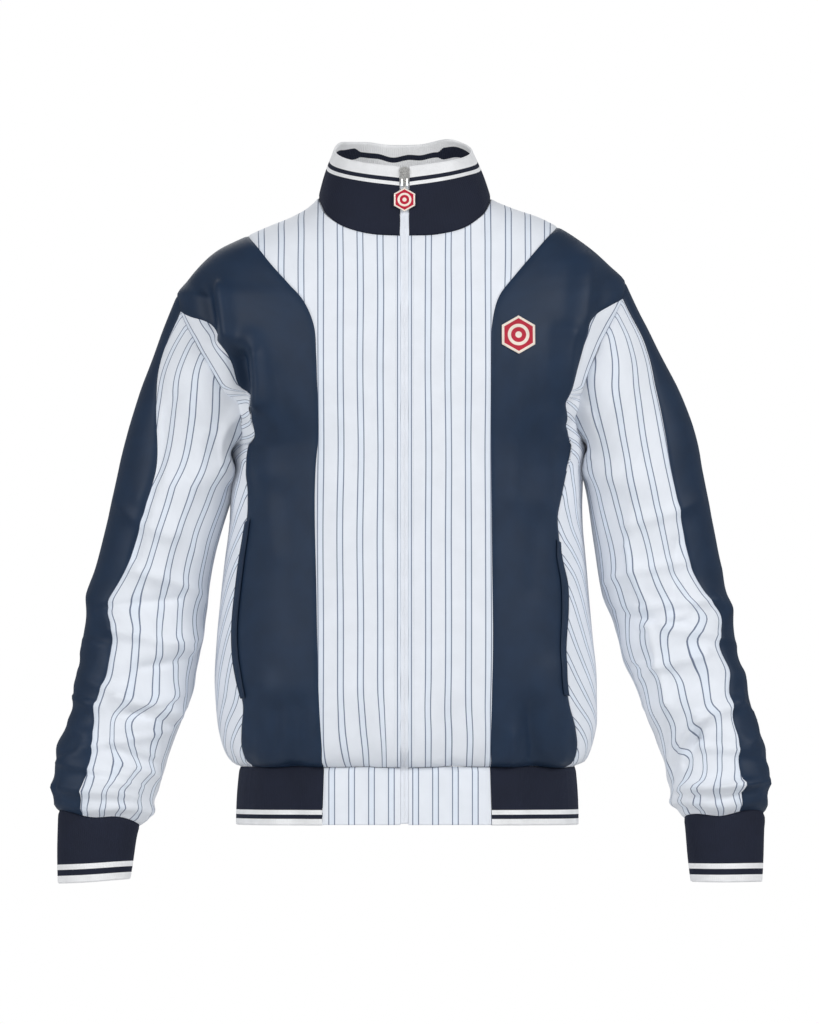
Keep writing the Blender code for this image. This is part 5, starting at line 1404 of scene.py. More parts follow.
def finish_rib(node, grid, rib, free_edge, sewn, wrap=False):
    """Turns a ribbed grid the right way, measures it from its free edge and closes it."""
    normals, rise, across = rib
    up = lengths_along(grid, 0)
    from_edge = up if free_edge == "bottom" else up[-1:] - up
    sign = -1 if faces_inward(node, grid, wrap) else 1
    raised = grid + (sign * rise)[..., None] * normals
    uv = np.stack([across, from_edge], -1)
    cloth_piece(node, raised, uv, sewn, sign * normals, RIB_WALL, wrap, free=1.1)


print("points on each cord:", RIB_POINTS)

# %% The cuffs
CUFF_BOTTOM = {"right": -750.3, "left": -750.8}
CUFF_TILT = {"right": -2.4, "left": 0.3}
CUFF_GRIP = {"right": (-1, 0), "left": (-1.5, -0.6)}
CUFF_OUT = {"right": 341, "left": 353.7}
CUFF_FORWARD = 38
CUFF_HALF_WIDTH = 41
CUFF_HALF_DEPTH = 29.5
CUFF_LEVELS = np.array([0, 0.012, 0.03, 0.07, 0.14, 0.24, 0.36, 0.5, 0.64, 0.77, 0.87, 0.94, 0.975, 1])


for side, sign in SIDES.items():
    _, front_turn, back_turn = STRIP[side][-1]
    share = fine_places(OUTER_COLUMNS, SLEEVE_STEPS) / OUTER_COLUMNS
    under_share = fine_places(UNDER_COLUMNS, SLEEVE_STEPS) / UNDER_COLUMNS
    turns = np.concatenate([
        back_turn + (front_turn - back_turn) * share,
        front_turn + (back_turn + 360 - front_turn) * under_share[1:],
    ])
    turn = np.radians(turns)
    foot = np.stack([
        sign * (CUFF_OUT[side] + (CUFF_HALF_WIDTH + CUFF_GRIP[side][0]) * np.cos(turn)),
        -CUFF_FORWARD - CUFF_HALF_DEPTH * np.sin(turn),
        CUFF_BOTTOM[side] + CUFF_TILT[side] * np.cos(turn),
    ], axis=-1)
    count, length = rib_points(feet[side])
    foot, top = spread(foot, count), spread(feet[side], count)
    grid, *rib = ribbed(foot, top, length, CUFF_LEVELS, 1.2, wrap=True)
    finish_rib(f"cuff_{side}", seated(side, grid, SEAT_REACH), rib, "bottom", ["top"], wrap=True)
print("cuffs:", 2)


# %% The waistband
BAND_LEVELS = np.array([0, 0.015, 0.04, 0.09, 0.18, 0.3, 0.44, 0.58, 0.72, 0.84, 0.92, 0.97, 1])


def band_foot(top):
    """The waistband's free edge below a stretch of the hem."""
    flare = np.where(top[:, 0] < 0, BAND_FLARE["right"], BAND_FLARE["left"])
    foot = top * np.stack([flare, np.full_like(flare, 1.02), np.ones_like(flare)], axis=-1)
    foot[:, 2] = BAND_BOTTOM
    return foot


BAND_STRIPE_SHIFT = {"right": 9.9, "left": 7.7}
for side in SIDES:
    top = fine[f"front_centre_{side}"][0]
    rows = BAND_LEVELS[:, None, None]
    grid = band_foot(top)[None] * (1 - rows) + top[None] * rows
    measure = np.abs(grid[..., 0]) - BAND_STRIPE_SHIFT[side]
    uv = np.stack([measure, lengths_along(grid, 0)], -1)
    ways = unit(grid * (1, 1, 0))
    cloth_piece(f"waistband_front_{side}", grid, uv, ["top", "end"], ways, RIB_WALL, free=0.4)

quarters = ["front_side_{}", "side_front_{}", "side_back_{}", "back_side_{}"]
right = [fine[name.format("right")][0] for name in quarters]
left = [fine[name.format("left")][0] for name in quarters]
around = [right[0], right[1], right[2][::-1], right[3][::-1], fine["back_centre"][0]]
around += [left[3], left[2], left[1][::-1], left[0][::-1]]
hem = joined(*around)
count, length = rib_points(hem)
grid, *rib = ribbed(spread(band_foot(hem), count), spread(hem, count), length, BAND_LEVELS, 1)
finish_rib("waistband_rib", grid, rib, "bottom", ["top", "start", "end"])
print("waistband pieces:", 3)


# %% The collar
COLLAR_LEVELS = np.array([0, 0.02, 0.05, 0.1, 0.18, 0.28, 0.4, 0.52, 0.64, 0.75, 0.85, 0.92, 0.97, 1])
COLLAR_SWELL = 1.5
ZIP_GAP_AT_COLLAR = 1
# The middle of the lining's dark line; at the back corners painted shade widens that line.
LINING_STRIPE = 13.7


def rim_line(side, face, count):
    """The collar's rim from the centre to the side, over the front or the back."""
    start, depth = (0, RIM_FRONT_DEPTH) if face < 0 else (180, RIM_BACK_DEPTH)
    if face < 0:
        start = math.degrees(math.asin(OPENING_HALF / RIM_HALF_WIDTH[side]))
    turns = np.linspace(start, 90, DENSE)
    turn = np.radians(turns)
    height = read(RIM_TABLE[side], "height", turns)
    x = SIDES[side] * RIM_HALF_WIDTH[side] * np.sin(turn)
    return spread(np.stack([x, -depth * np.cos(turn), height], axis=-1), count)


def neck_part(name, first, last):
    """A stretch of a piece's top edge between two coarse places."""
    spans = coarse[name].shape[1] - 1
    places = fine_places(spans, COLUMN_STEPS)
    chosen = (places >= first - 1e-6) & (places <= last + 1e-6)
    return fine[name][-1][chosen]


def collar_grid():
    """The collar between the neckline and its rim, four stretches end to end."""
    count = 60
    back_last = SHOULDER_SPANS + BACK_NECK_SPANS
    back_middle = SHOULDER_SPANS + BACK_NECK_SPANS // 2
    stretches = [
        (neck_part("front_centre_left", 0, NECK_SPANS), rim_line("left", FRONT, count)),
        (neck_part("back_centre", back_middle, back_last)[::-1], rim_line("left", BACK, count)[::-1]),
        (neck_part("back_centre", SHOULDER_SPANS, back_middle)[::-1], rim_line("right", BACK, count)),
        (neck_part("front_centre_right", 0, NECK_SPANS)[::-1], rim_line("right", FRONT, count)[::-1]),
    ]
    necks = [spread(neck, count) for neck, _ in stretches]
    rims = [rim for _, rim in stretches]
    return joined(*necks), joined(*rims)


def collar_lining_uv_with_painted_shade(grid, uv):
    """The lining's measure from the rim: its dark line wavers, and at the back corners it rises and
    widens into painted shade.
    """
    x = grid[..., 0]
    # Painted shade: near the back corners the dark lining line is made wider, for the shadow deep inside
    # the collar there.
    corner = fade(np.abs(x + 6), 43, 51) * fade(grid[..., 1], -10, 10)
    waver = np.sin(x / 9) + 0.8 * np.sin(x / 4.7 + 1)
    depth = uv[..., 1] + corner + waver * fade(uv[..., 1], 2, 8)
    depth = LINING_STRIPE + (depth - LINING_STRIPE) / (1 + 1.2 * corner)
    return np.stack([uv[..., 0], -depth - 0.01], -1)


neck, rim = collar_grid()
count, length = rib_points(rim)
places = np.linspace(0, len(neck) - 1, count + 1)
grid, *rib = ribbed(cubic(neck, places), cubic(rim, places), length, COLLAR_LEVELS, COLLAR_SWELL)
near_zip = np.exp(-((np.abs(grid[..., 0]) - OPENING_HALF) / 5) ** 2) * (grid[..., 1] < 0)
grid[..., 0] += np.sign(grid[..., 0]) * ZIP_GAP_AT_COLLAR * near_zip
finish_rib("collar", grid, rib, "top", ["bottom"])
print("collar ribs:", grid.shape[1] // RIB_POINTS)

# %% [markdown]
# ## Writing shader trees
#
# Real cloth is never one flat colour: it has a weave, a sheen and a little unevenness. An effect that
# several cloths share becomes a node group, built once. A group only works out masks and heights; the
# shader stays in the material, where its sheen and roughness keep plain values.

# %% Helpers for node trees
def calc(tree, operation, *values):
    """One Math node; returns its output."""
    item = put(tree, "ShaderNodeMath", operation=operation)
    for socket, value in zip(item.inputs, values):
        feed(tree, socket, value)
    return item.outputs[0]


def maths(tree):
    """A short name for the Math nodes of one tree."""
    return lambda operation, *values: calc(tree, operation, *values)


def ramp(tree, value, start, end, low=0, high=1):
    """A smooth step from low to high between two values."""
    item = put(tree, "ShaderNodeMapRange", interpolation_type="SMOOTHSTEP")
    for socket, given in zip(item.inputs[:5], (value, start, end, low, high)):
        feed(tree, socket, given)
    return item.outputs[0]


def blend_colours(tree, share, first, second):
    item = put(tree, "ShaderNodeMix", data_type="RGBA")
    for place, value in ((0, share), (6, first), (7, second)):
        feed(tree, item.inputs[place], value)
    return item.outputs[2]


def new_group(name, inputs, outputs):
    """A shader group with float sockets; returns it, what it is given and what it gives."""
    group = bpy.data.node_groups.new(name, "ShaderNodeTree")
    for label, value in inputs.items():
        socket = group.interface.new_socket(name=label, in_out="INPUT", socket_type="NodeSocketFloat")
        socket.default_value = value
    for label in outputs:
        group.interface.new_socket(name=label, in_out="OUTPUT", socket_type="NodeSocketFloat")
    given, result = group.nodes.new("NodeGroupInput"), group.nodes.new("NodeGroupOutput")
    return group, given.outputs, result.inputs


def use_group(tree, group, **values):
    item = put(tree, "ShaderNodeGroup", node_tree=group)
    for label, value in values.items():
        feed(tree, item.inputs[label.replace("_", " ")], value)
    return item.outputs


print("shader helpers ready")

# %% Pinstripes: pairs of fine lines with a tint between them
LINE_FROM_PAIR = 3.15
LINE_HALF = 0.52
LINE_SOFT = (0.22, 0.34)

stripes, given, result = new_group(
    "pinstripes",
    {"Across": 0, "First": STRIPE_FIRST, "Pitch": STRIPE_PITCH, "Line half width": LINE_HALF},
    ("Line", "Tint"),
)
do = maths(stripes)
turns_along = do("DIVIDE", do("SUBTRACT", given["Across"], given["First"]), given["Pitch"])
part = do("SUBTRACT", do("FRACT", do("ADD", turns_along, 0.5)), 0.5)
off_pair = do("MULTIPLY", do("ABSOLUTE", part), given["Pitch"])
off_line = do("ABSOLUTE", do("SUBTRACT", off_pair, LINE_FROM_PAIR))
edge = do("ADD", given["Line half width"], LINE_SOFT[0])
line = ramp(stripes, off_line, do("SUBTRACT", edge, LINE_SOFT[1]), edge, 1, 0)
feed(stripes, result["Line"], line)
tint = ramp(stripes, off_pair, LINE_FROM_PAIR - 0.4, LINE_FROM_PAIR + 0.1, 1, 0)
feed(stripes, result["Tint"], tint)
print("group", stripes.name)

# %% Knit: wales along the cloth, courses across it, and a soft unevenness
knit, given, result = new_group(
    "knit_surface",
    {"Across": 0, "Along": 0, "Wale": 0.9, "Course": 0.8, "Slant": 0},
    ("Height", "Shade"),
)
do = maths(knit)
leaned = do("ADD", given["Across"], do("MULTIPLY", given["Along"], given["Slant"]))
wale = do("SINE", do("DIVIDE", do("MULTIPLY", leaned, math.tau), given["Wale"]))
course = do("SINE", do("DIVIDE", do("MULTIPLY", given["Along"], math.tau), given["Course"]))
weave = do("MULTIPLY", do("ADD", wale, do("MULTIPLY", course, 0.6)), 0.5)
place = put(knit, "ShaderNodeCombineXYZ", X=given["Across"], Y=given["Along"]).outputs[0]
fibre = put(knit, "ShaderNodeTexNoise", Vector=place, Scale=2.2, Detail=2).outputs[0]
cloud = put(knit, "ShaderNodeTexNoise", Vector=place, Scale=0.035, Detail=3).outputs[0]
feed(knit, result["Height"], do("ADD", do("MULTIPLY", weave, 0.5), fibre))
feed(knit, result["Shade"], do("ADD", do("MULTIPLY", fibre, 0.25), do("MULTIPLY", cloud, 0.75)))
print("group", knit.name)

# %% Tipping: pale lines that follow a free edge, on the outside and the inside
EDGE_BLUR = 0.3
TIPPING = {"Edge": 7.4, "Line start": 13.6, "Line end": 19.8,
           "Inner edge": 7.4, "Inner start": 13.6, "Inner end": 19.8}

tipping, given, result = new_group("tipping", {"From edge": 0, **TIPPING}, ("Pale",))
do = maths(tipping)


def pale_bands(distance, band, start, end):
    """1 on the band at the edge and on the line further in."""
    rolled = ramp(tipping, distance, do("SUBTRACT", band, EDGE_BLUR), band, 1, 0)
    entering = ramp(tipping, distance, start, do("ADD", start, EDGE_BLUR))
    leaving = ramp(tipping, distance, do("SUBTRACT", end, EDGE_BLUR), end, 1, 0)
    return do("MAXIMUM", rolled, do("MULTIPLY", entering, leaving))


distance = do("ABSOLUTE", given["From edge"])
outside, inside = (
    pale_bands(distance, *(given[label] for label in labels))
    for labels in (list(TIPPING)[:3], list(TIPPING)[3:])
)
is_inside = do("LESS_THAN", given["From edge"], 0)
outside = do("MULTIPLY", outside, do("SUBTRACT", 1, is_inside))
feed(tipping, result["Pale"], do("ADD", outside, do("MULTIPLY", inside, is_inside)))
print("group", tipping.name)

# %% [markdown]
# ## The cloths
#
# The body cloth is a smooth warp knit: matt, with a soft sheen at glancing angles. The pale cloth
# carries woven-in stripes, the dark cloth a slanted grain, and the rib is coarser and duller. All read
# the UV map, which is in real sizes, so nothing stretches on a curved piece.

# %% A start for every cloth material
def cloth_material(name, roughness, sheen, sheen_tint=(1, 1, 1, 1), sheen_roughness=0.4):
    """A material with the cloth's measures in millimetres; returns its useful parts."""
    material = bpy.data.materials.new(name)
    material.use_nodes = True
    tree = material.node_tree
    shader = tree.nodes["Principled BSDF"]
    shader.inputs["Roughness"].default_value = roughness
    shader.inputs["Specular IOR Level"].default_value = 0.32
    shader.inputs["Sheen Weight"].default_value = sheen
    shader.inputs["Sheen Tint"].default_value = sheen_tint
    shader.inputs["Sheen Roughness"].default_value = sheen_roughness
    measures = put(tree, "ShaderNodeUVMap", uv_map="cloth")
    split = put(tree, "ShaderNodeSeparateXYZ", Vector=measures.outputs[0])
    across, along = (calc(tree, "MULTIPLY", split.outputs[k], 1000) for k in (0, 1))
    return material, tree, shader, across, along


def bumped(tree, shader, height, strength, distance=0.0003):
    bump = put(tree, "ShaderNodeBump", Height=height, Strength=strength, Distance=distance)
    feed(tree, shader.inputs["Normal"], bump.outputs[0])


def toned(tree, colour, shade, spread_by):
    """A colour made a little lighter and darker by a mask around one half."""
    gain = ramp(tree, shade, 0.2, 0.8, 1 - spread_by, 1 + spread_by)
    scaled = put(tree, "ShaderNodeVectorMath", operation="SCALE", Scale=gain)
    feed(tree, scaled.inputs[0], colour)
    return scaled.outputs[0]


def knitted(cloth, colour, tone, bump, **loops):
    """Gives a cloth its colour, toned and raised by its own knit."""
    material, tree, shader, across, along = cloth
    surface = use_group(tree, knit, Across=across, Along=along, **loops)
    feed(tree, shader.inputs["Base Color"], toned(tree, colour, surface["Shade"], tone))
    bumped(tree, shader, surface["Height"], bump)
    return material


print("cloth helpers ready")

# %% The striped cloth
PALE = (0.81, 0.845, 0.905, 1)
PAIR_TINT = (0.765, 0.825, 0.915, 1)
LINE_INK = (0.15, 0.185, 0.27, 1)

cloth = cloth_material("striped_warp_knit", 0.62, 0.18)
_, tree, _, across, _ = cloth
marks = use_group(tree, stripes, Across=across)
ground = blend_colours(tree, marks["Tint"], PALE, PAIR_TINT)
inked = blend_colours(tree, marks["Line"], ground, LINE_INK)
striped = knitted(cloth, inked, 0.035, 0.22, Wale=0.95, Course=0.85)
print("material", striped.name)

# %% The dark cloth
NAVY = (0.0078, 0.0235, 0.056)

cloth = cloth_material("dark_warp_knit", 0.55, 0.04, (0.3, 0.6, 1, 1), 0.19)
dark = knitted(cloth, NAVY, 0.14, 0.3, Wale=0.8, Course=1.1, Slant=0.35)
print("material", dark.name)

# %% The rib knit, with its own tipping on each piece
RIB_NAVY = (0.006, 0.0095, 0.025, 1)
RIB_PALE = (0.87, 0.875, 0.885, 1)


def rib_material(name, *distances):
    """Rib knit with pale bands at the given distances from its free edge."""
    cloth = cloth_material(name, 0.78, 0.06, (0.6, 0.7, 1, 1))
    _, tree, _, _, along = cloth
    bands = {label.replace(" ", "_"): value for label, value in zip(TIPPING, distances)}
    pale = use_group(tree, tipping, From_edge=along, **bands)["Pale"]
    colour = blend_colours(tree, pale, RIB_NAVY, RIB_PALE)
    return knitted(cloth, colour, 0.12, 0.4, Wale=0.58, Course=0.9)


cuff_rib = rib_material("cuff_rib", 7.4, 13.6, 19.8, 7.4, 13.6, 19.8)
band_rib = rib_material("waist_rib", 6.2, 10.6, 16, 6.2, 10.6, 16)
collar_rib = rib_material("collar_rib", 12.6, 17, 21.4, 11, 16.5, 48)
print("rib materials:", 3)

# %% Each cloth on its pieces
FINISH = (
    (striped, "white_stripe_cloth", ("front_centre", "side_front", "side_back", "back_centre",
                                     "sleeve_under", "waistband_front")),
    (dark, "navy_cloth", ("front_side", "back_side", "sleeve_outer")),
    (cuff_rib, "navy_rib", ("cuff",)),
    (band_rib, "navy_rib", ("waistband_rib",)),
    (collar_rib, "navy_rib", ("collar",)),
)
for node, item in pieces.items():
    for material, slot_name, starts in FINISH:
        if node.startswith(starts):
            item.data.materials.append(material)
print("cloth pieces finished:", len(pieces))

# %% [markdown]
# ## The zip, the stitches and what rides on the cloth
#
# A zip is a tape behind the opening, two rows of moulded teeth that mesh, and a slider. Teeth and
# stitches repeat along a path, which Geometry Nodes do best: resample the path at one pitch, put a
# small form on every point and turn it along the way. The finished mesh replaces the modifier.

# %% A mesh that is only a path
def path_object(name, lines):
    """Loose edges through lines of points in millimetres."""
    points, edges = [], []
    for line in lines:
        first = len(points)
        points += [tuple(point) for point in np.asarray(line) * MM]
        edges += [(first + k, first + k + 1) for k in range(len(line) - 1)]
    mesh = bpy.data.meshes.new(name)
    mesh.from_pydata(points, edges, [])
    item = bpy.data.objects.new(name, mesh)
    bpy.context.scene.collection.objects.link(item)
    return item


def grown(item, tree, values):
    """Runs a Geometry Nodes tree on an object and keeps the plain mesh that it makes."""
    modifier = item.modifiers.new("grow", "NODES")
    modifier.node_group = tree
    for socket in tree.interface.items_tree:
        if socket.in_out == "INPUT" and socket.name in values:
            modifier[socket.identifier] = values[socket.name]
    graph = bpy.context.evaluated_depsgraph_get()
    mesh = bpy.data.meshes.new_from_object(item.evaluated_get(graph))
    item.modifiers.remove(modifier)
    item.data = mesh
    mesh.shade_smooth()
    return item


print("path helpers ready")


# %% The tree that lays stitches or teeth along a path
def along_path_tree(name, build_form, sideways):
    """Forms at one pitch along a path, turned with it, swinging aside by turns."""
    tree = bpy.data.node_groups.new(name, "GeometryNodeTree")
    face = tree.interface
    face.new_socket(name="Geometry", in_out="INPUT", socket_type="NodeSocketGeometry")
    for label in ("Pitch", "Length", "Thickness", "Width", "Aside"):
        face.new_socket(name=label, in_out="INPUT", socket_type="NodeSocketFloat")
    face.new_socket(name="Material", in_out="INPUT", socket_type="NodeSocketMaterial")
    face.new_socket(name="Geometry", in_out="OUTPUT", socket_type="NodeSocketGeometry")
    given, result = tree.nodes.new("NodeGroupInput"), tree.nodes.new("NodeGroupOutput")
    curve = put(tree, "GeometryNodeMeshToCurve", Mesh=given.outputs["Geometry"])
    even = put(tree, "GeometryNodeResampleCurve", mode="LENGTH", Curve=curve.outputs[0],
               Length=given.outputs["Pitch"])
    tangent = tree.nodes.new("GeometryNodeInputTangent")
    turn = put(tree, "FunctionNodeAlignRotationToVector", axis="Z", Vector=tangent.outputs[0])
    turn.pivot_axis = "X" if sideways else "AUTO"
    form = build_form(tree, given)
    placed = put(tree, "GeometryNodeInstanceOnPoints", Points=even.outputs[0],
                 Instance=form, Rotation=turn.outputs[0])
    geometry = placed.outputs[0]
    if sideways:
        index = tree.nodes.new("GeometryNodeInputIndex")
        parity = calc(tree, "SUBTRACT", calc(tree, "MODULO", index.outputs[0], 2), 0.5)
        shift = tree.nodes.new("ShaderNodeCombineXYZ")
        tree.links.new(calc(tree, "MULTIPLY", parity, given.outputs["Aside"]), shift.inputs[0])
        moved = put(tree, "GeometryNodeTranslateInstances", Instances=geometry,
                    Translation=shift.outputs[0])
        geometry = moved.outputs[0]
    real = put(tree, "GeometryNodeRealizeInstances", Geometry=geometry)
    dressed = put(tree, "GeometryNodeSetMaterial", Geometry=real.outputs[0],
                  Material=given.outputs["Material"])
    tree.links.new(dressed.outputs[0], result.inputs[0])
    return tree


def sized(tree, mesh, given):
    """Scales a unit form to the tree's width, thickness and length."""
    size = tree.nodes.new("ShaderNodeCombineXYZ")
    for socket, label in zip(size.inputs, ("Width", "Thickness", "Length")):
        tree.links.new(given.outputs[label], socket)
    return put(tree, "GeometryNodeTransform", Geometry=mesh, Scale=size.outputs[0]).outputs[0]


def thread_form(tree, given):
    bead = put(tree, "GeometryNodeMeshUVSphere", Segments=6, Rings=4, Radius=0.5)
    return sized(tree, bead.outputs[0], given)


def tooth_form(tree, given):
    bar = put(tree, "GeometryNodeMeshCylinder", Vertices=8, Radius=0.5, Depth=1)
    turned = put(tree, "GeometryNodeTransform", Geometry=bar.outputs[0],
                 Rotation=(0, math.radians(90), 0))
    return sized(tree, turned.outputs[0], given)


stitch_tree = along_path_tree("stitches_along_path", thread_form, False)
tooth_tree = along_path_tree("teeth_along_path", tooth_form, True)
print("trees:", stitch_tree.name, tooth_tree.name)

# %% The zip's line, its tape and its teeth
ZIP_TOP = 22
TAPE_SINK, TAPE_WALL, TAPE_TUCK = 0.35, 0.7, 3
TOOTH_PITCH = 1.25

collar_front = np.concatenate([neck[:1], rim[:1]]) * (0, 1, 1)
rise_share = (ZIP_TOP - collar_front[0, 2]) / (collar_front[1, 2] - collar_front[0, 2])
collar_top = collar_front[0] + rise_share * (collar_front[1] - collar_front[0])
edges = []
for name in ("waistband_front", "front_centre"):
    pair = []
    for side in SIDES:
        top = fine[f"front_centre_{side}"]
        pair.append(top[:, 0] if name == "front_centre" else np.stack([band_foot(top[0])[0], top[0, 0]]))
    edges.append(0.5 * (pair[0] + pair[1]) * (0, 1, 1))
edges.append(np.stack([edges[-1][-1], collar_top]))
zip_line = spread(joined(*edges), 260)
zip_line[0, 2] += 1
zip_up = unit(np.gradient(zip_line, axis=0))
zip_out = np.stack([np.zeros(len(zip_line)), -zip_up[:, 2], zip_up[:, 1]], -1)

half = np.array([0, 0.2, 0.5, 1.2, 2.4, 3.6, 4.15, 4.3, 4.4, 5.4, 8, 9.5])
across = np.concatenate([-half[:0:-1], half])
in_collar = fade(zip_line[:, 2], -44, -40)
in_rib = in_collar + fade(-zip_line[:, 2], 622, 627)
tuck = TAPE_TUCK + 1.2 * in_rib[:, None]
sink = TAPE_SINK + (tuck - TAPE_SINK) * fade(np.abs(across), 4.15, 4.4)[None]
sink = sink + 0.35 * np.exp(-((across / 0.5) ** 2))[None]
wider = 0.95 * in_collar[:, None] * fade(np.abs(across), 2, 4)[None]
across = across[None] + np.sign(across)[None] * wider
tape_grid = zip_line[:, None] + across[..., None] * np.array([1, 0, 0])
tape_grid = tape_grid - sink[..., None] * zip_out[:, None]
tape_uv = np.stack([across + 0 * sink, lengths_along(tape_grid, 0)], -1)
tape = shell("zip_tape_pair", tape_grid, TAPE_WALL, tape_uv, tape_uv,
             normals=zip_out[:, None] + 0 * tape_grid)
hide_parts("zip_chain")
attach(tape, "jacket")
width, length, area = flat_size(tape_grid)

cloth = cloth_material("zip_tape_weave", 0.7, 0.1)
tape.data.materials.append(
    knitted(cloth, (0.82, 0.855, 0.92), 0.06, 0.5, Wale=0.7, Course=0.7, Slant=0.6)
)


def hard_material(name, roughness, metallic=0):
    material = bpy.data.materials.new(name)
    material.use_nodes = True
    shader = material.node_tree.nodes["Principled BSDF"]
    shader.inputs["Roughness"].default_value = roughness
    shader.inputs["Metallic"].default_value = metallic
    return material, material.node_tree, shader


def flecked(tree, shader, colour, scale, tone, bump, detail=2):
    """Gives a hard finish its colour, with the faint marks of its mould; returns the marks."""
    where = put(tree, "ShaderNodeTexCoord").outputs["Object"]
    marks = put(tree, "ShaderNodeTexNoise", Vector=where, Scale=scale, Detail=detail).outputs[0]
    feed(tree, shader.inputs["Base Color"], toned(tree, colour, marks, tone))
    bumped(tree, shader, marks, bump, 0.0001)
    return marks


tooth_plastic, tree, shader = hard_material("tooth_plastic", 0.35)
flecked(tree, shader, (0.84, 0.86, 0.9), 900, 0.05, 0.15)
teeth = path_object("zip_teeth", [zip_line[1:-1] - 0.75 * zip_out[1:-1]])
grown(teeth, tooth_tree, {
    "Pitch": TOOTH_PITCH * MM, "Length": 0.9 * MM, "Thickness": 1.1 * MM, "Width": 1.7 * MM,
    "Aside": 0.7 * MM, "Material": tooth_plastic,
})
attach(teeth, "jacket")
print("zip teeth triangles:", sum(len(face.vertices) - 2 for face in teeth.data.polygons))

# %% [markdown]
# ## Pocket welts and the badge
#
# A welt is a narrow folded strip that edges the pocket's mouth. It lies on the side front, so its
# points come from that panel's own surface and stand a little off it. The badge is an embroidered patch
# with an overlocked border: a plain six-sided form with a ring and a dot, raised because thread stands
# up.

# %% The welts
WELT_FROM, WELT_TO = 0.26, 0.92
WELT_GAP, WELT_WALL = 0.5, 1.5
WELT_ENDS = {"right": (-358, -550), "left": (-374, -547)}
WELT_PLACES = np.array([0, 0.04, 0.1, 0.2, 0.35, 0.5, 0.65, 0.8, 0.9, 0.96, 1])
stitch_lines = []


def line_inside(grid, lift, column=None, distance=None):
    """A line of points along a grid, at a column or at a distance from its first column."""
    normals = grid_normals(grid)
    raised = grid + lift * normals
    if distance is None:
        return raised[:, column]
    across = lengths_along(grid, 1)
    return np.stack([
        [np.interp(distance, across[row], raised[row, :, k]) for k in range(3)]
        for row in range(len(grid))
    ])


for side in SIDES:
    panel = coarse[f"front_side_{side}"]
    high, low = WELT_ENDS[side]
    last = panel.shape[1] - 1
    levels = panel[:, -1, 2]
    first_row, last_row = np.interp([low, high], levels, np.arange(len(levels)))
    rows = np.linspace(first_row, last_row, 64)
    spans = last - 1 + WELT_FROM + (WELT_TO - WELT_FROM) * WELT_PLACES
    strip = cubic(cubic(panel, rows).swapaxes(0, 1), spans).swapaxes(0, 1)
    strip = drape(onto_torso(strip, passes=3))
    if faces_inward("welt", strip):
        strip = strip[:, ::-1]
    crown = 0.5 * np.sin(np.pi * WELT_PLACES) ** 0.5
    normals = grid_normals(strip)
    strip = strip + (WELT_GAP + WELT_WALL + crown[None, :, None]) * normals
    uv = np.stack([lengths_along(strip, 1), lengths_along(strip, 0)], -1)
    bulge = np.full(strip.shape[:2], 0.45)
    welt = shell(f"pocket_welt_{side}_cloth", strip, WELT_WALL, uv, uv, bulge=bulge)
    welt.data.materials.append(dark)
    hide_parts(f"pocket_welt_{side}")
    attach(welt, "jacket")
    width, length, area = flat_size(strip)
    stitch_lines += [("dark", line_inside(strip[2:-2], 0.1, column=k)) for k in (2, -3)]
print("welts:", 2)

# %% Six-sided medallions: the badge and the tag's face
MEDAL_RINGS = np.concatenate([
    np.linspace(1, 0.8, 11), np.linspace(0.78, 0.6, 7), np.linspace(0.58, 0.3, 15),
    np.linspace(0.27, 0, 10),
])
MEDAL_AROUND = 96
BORDER_FROM = 0.86
RING_AT, RING_HALF = 0.48, 0.085
DOT_REACH = 0.17


def six_sided(turn):
    """How far a pointed six-sided edge lies from its middle, for a reach of one."""
    part = np.mod(turn - math.pi / 2, math.pi / 3) - math.pi / 6
    return math.cos(math.pi / 6) / np.cos(part)


def hump(value, middle, half):
    """A rounded ridge across a band."""
    t = np.clip(np.abs(value - middle) / half, 0, 1)
    return np.sqrt(1 - t * t)


def medallion(name, seat, radius, base, border, relief):
    """A raised six-sided piece; seat(x, v) gives points and the way out, in millimetres."""
    turn = np.linspace(0, 2 * math.pi, MEDAL_AROUND + 1)
    share = MEDAL_RINGS[:, None]
    six = six_sided(turn)[None]
    roundness = fade(share, 0.45, 0.85)
    reach = share * ((1 - roundness) * 0.93 + six * roundness)
    x, v = reach * np.cos(turn), reach * np.sin(turn)
    points, out = seat(radius * x, radius * v)
    height = base + border * hump(share, 0.93, 0.075) + 0 * x
    height = height + relief * hump(reach, RING_AT, RING_HALF) + relief * hump(reach, 0, DOT_REACH)
    outer = points + height[..., None] * out
    outer[-1] = outer[-1].mean(axis=0)
    uv = np.stack([radius * x, radius * v], -1)
    edge = np.full(outer.shape[:2], 0.2)
    wall = np.maximum(height, 0.3)[..., None]
    if np.sum(grid_normals(outer, True) * out) < 0:
        outer, uv, out, wall = outer[:, ::-1], uv[:, ::-1], out[:, ::-1], wall[:, ::-1]
    return shell(name, outer, wall, uv, uv, True, edge, normals=out)


BADGE_ACROSS, BADGE_HEIGHT = 125, -151
BADGE_RADIUS = 21


def on_chest(x, v):
    plain = on_torso(BADGE_ACROSS + x, BADGE_HEIGHT + v, FRONT)
    out = unit(torso_slope(plain))
    return drape(plain) + 0.35 * out, out


badge = medallion("chest_badge_patch", on_chest, BADGE_RADIUS, 1, 0.7, 0.45)
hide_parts("chest_badge")
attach(badge, "jacket")

upward = unit(np.array([0, 1.764, 8.825]))
outward = np.array([0, -upward[2], upward[1]])
hinge = np.array([0, -77.41, 11.968])
TAG_RADIUS, TAG_WALL, TAG_DROP = 13.4, 2, 1.75


def on_tag(x, v):
    middle = hinge - (TAG_RADIUS + TAG_DROP) * upward + 0.5 * TAG_WALL * outward
    points = middle + x[..., None] * np.array([1, 0, 0]) + v[..., None] * upward
    return points - 0.1 * outward, np.broadcast_to(outward, points.shape)


tag_face = medallion("pull_tag_face", on_tag, 0.985 * TAG_RADIUS, 0.25, 0.45, 0.3)
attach(tag_face, "tag")
print("medallions:", 2)

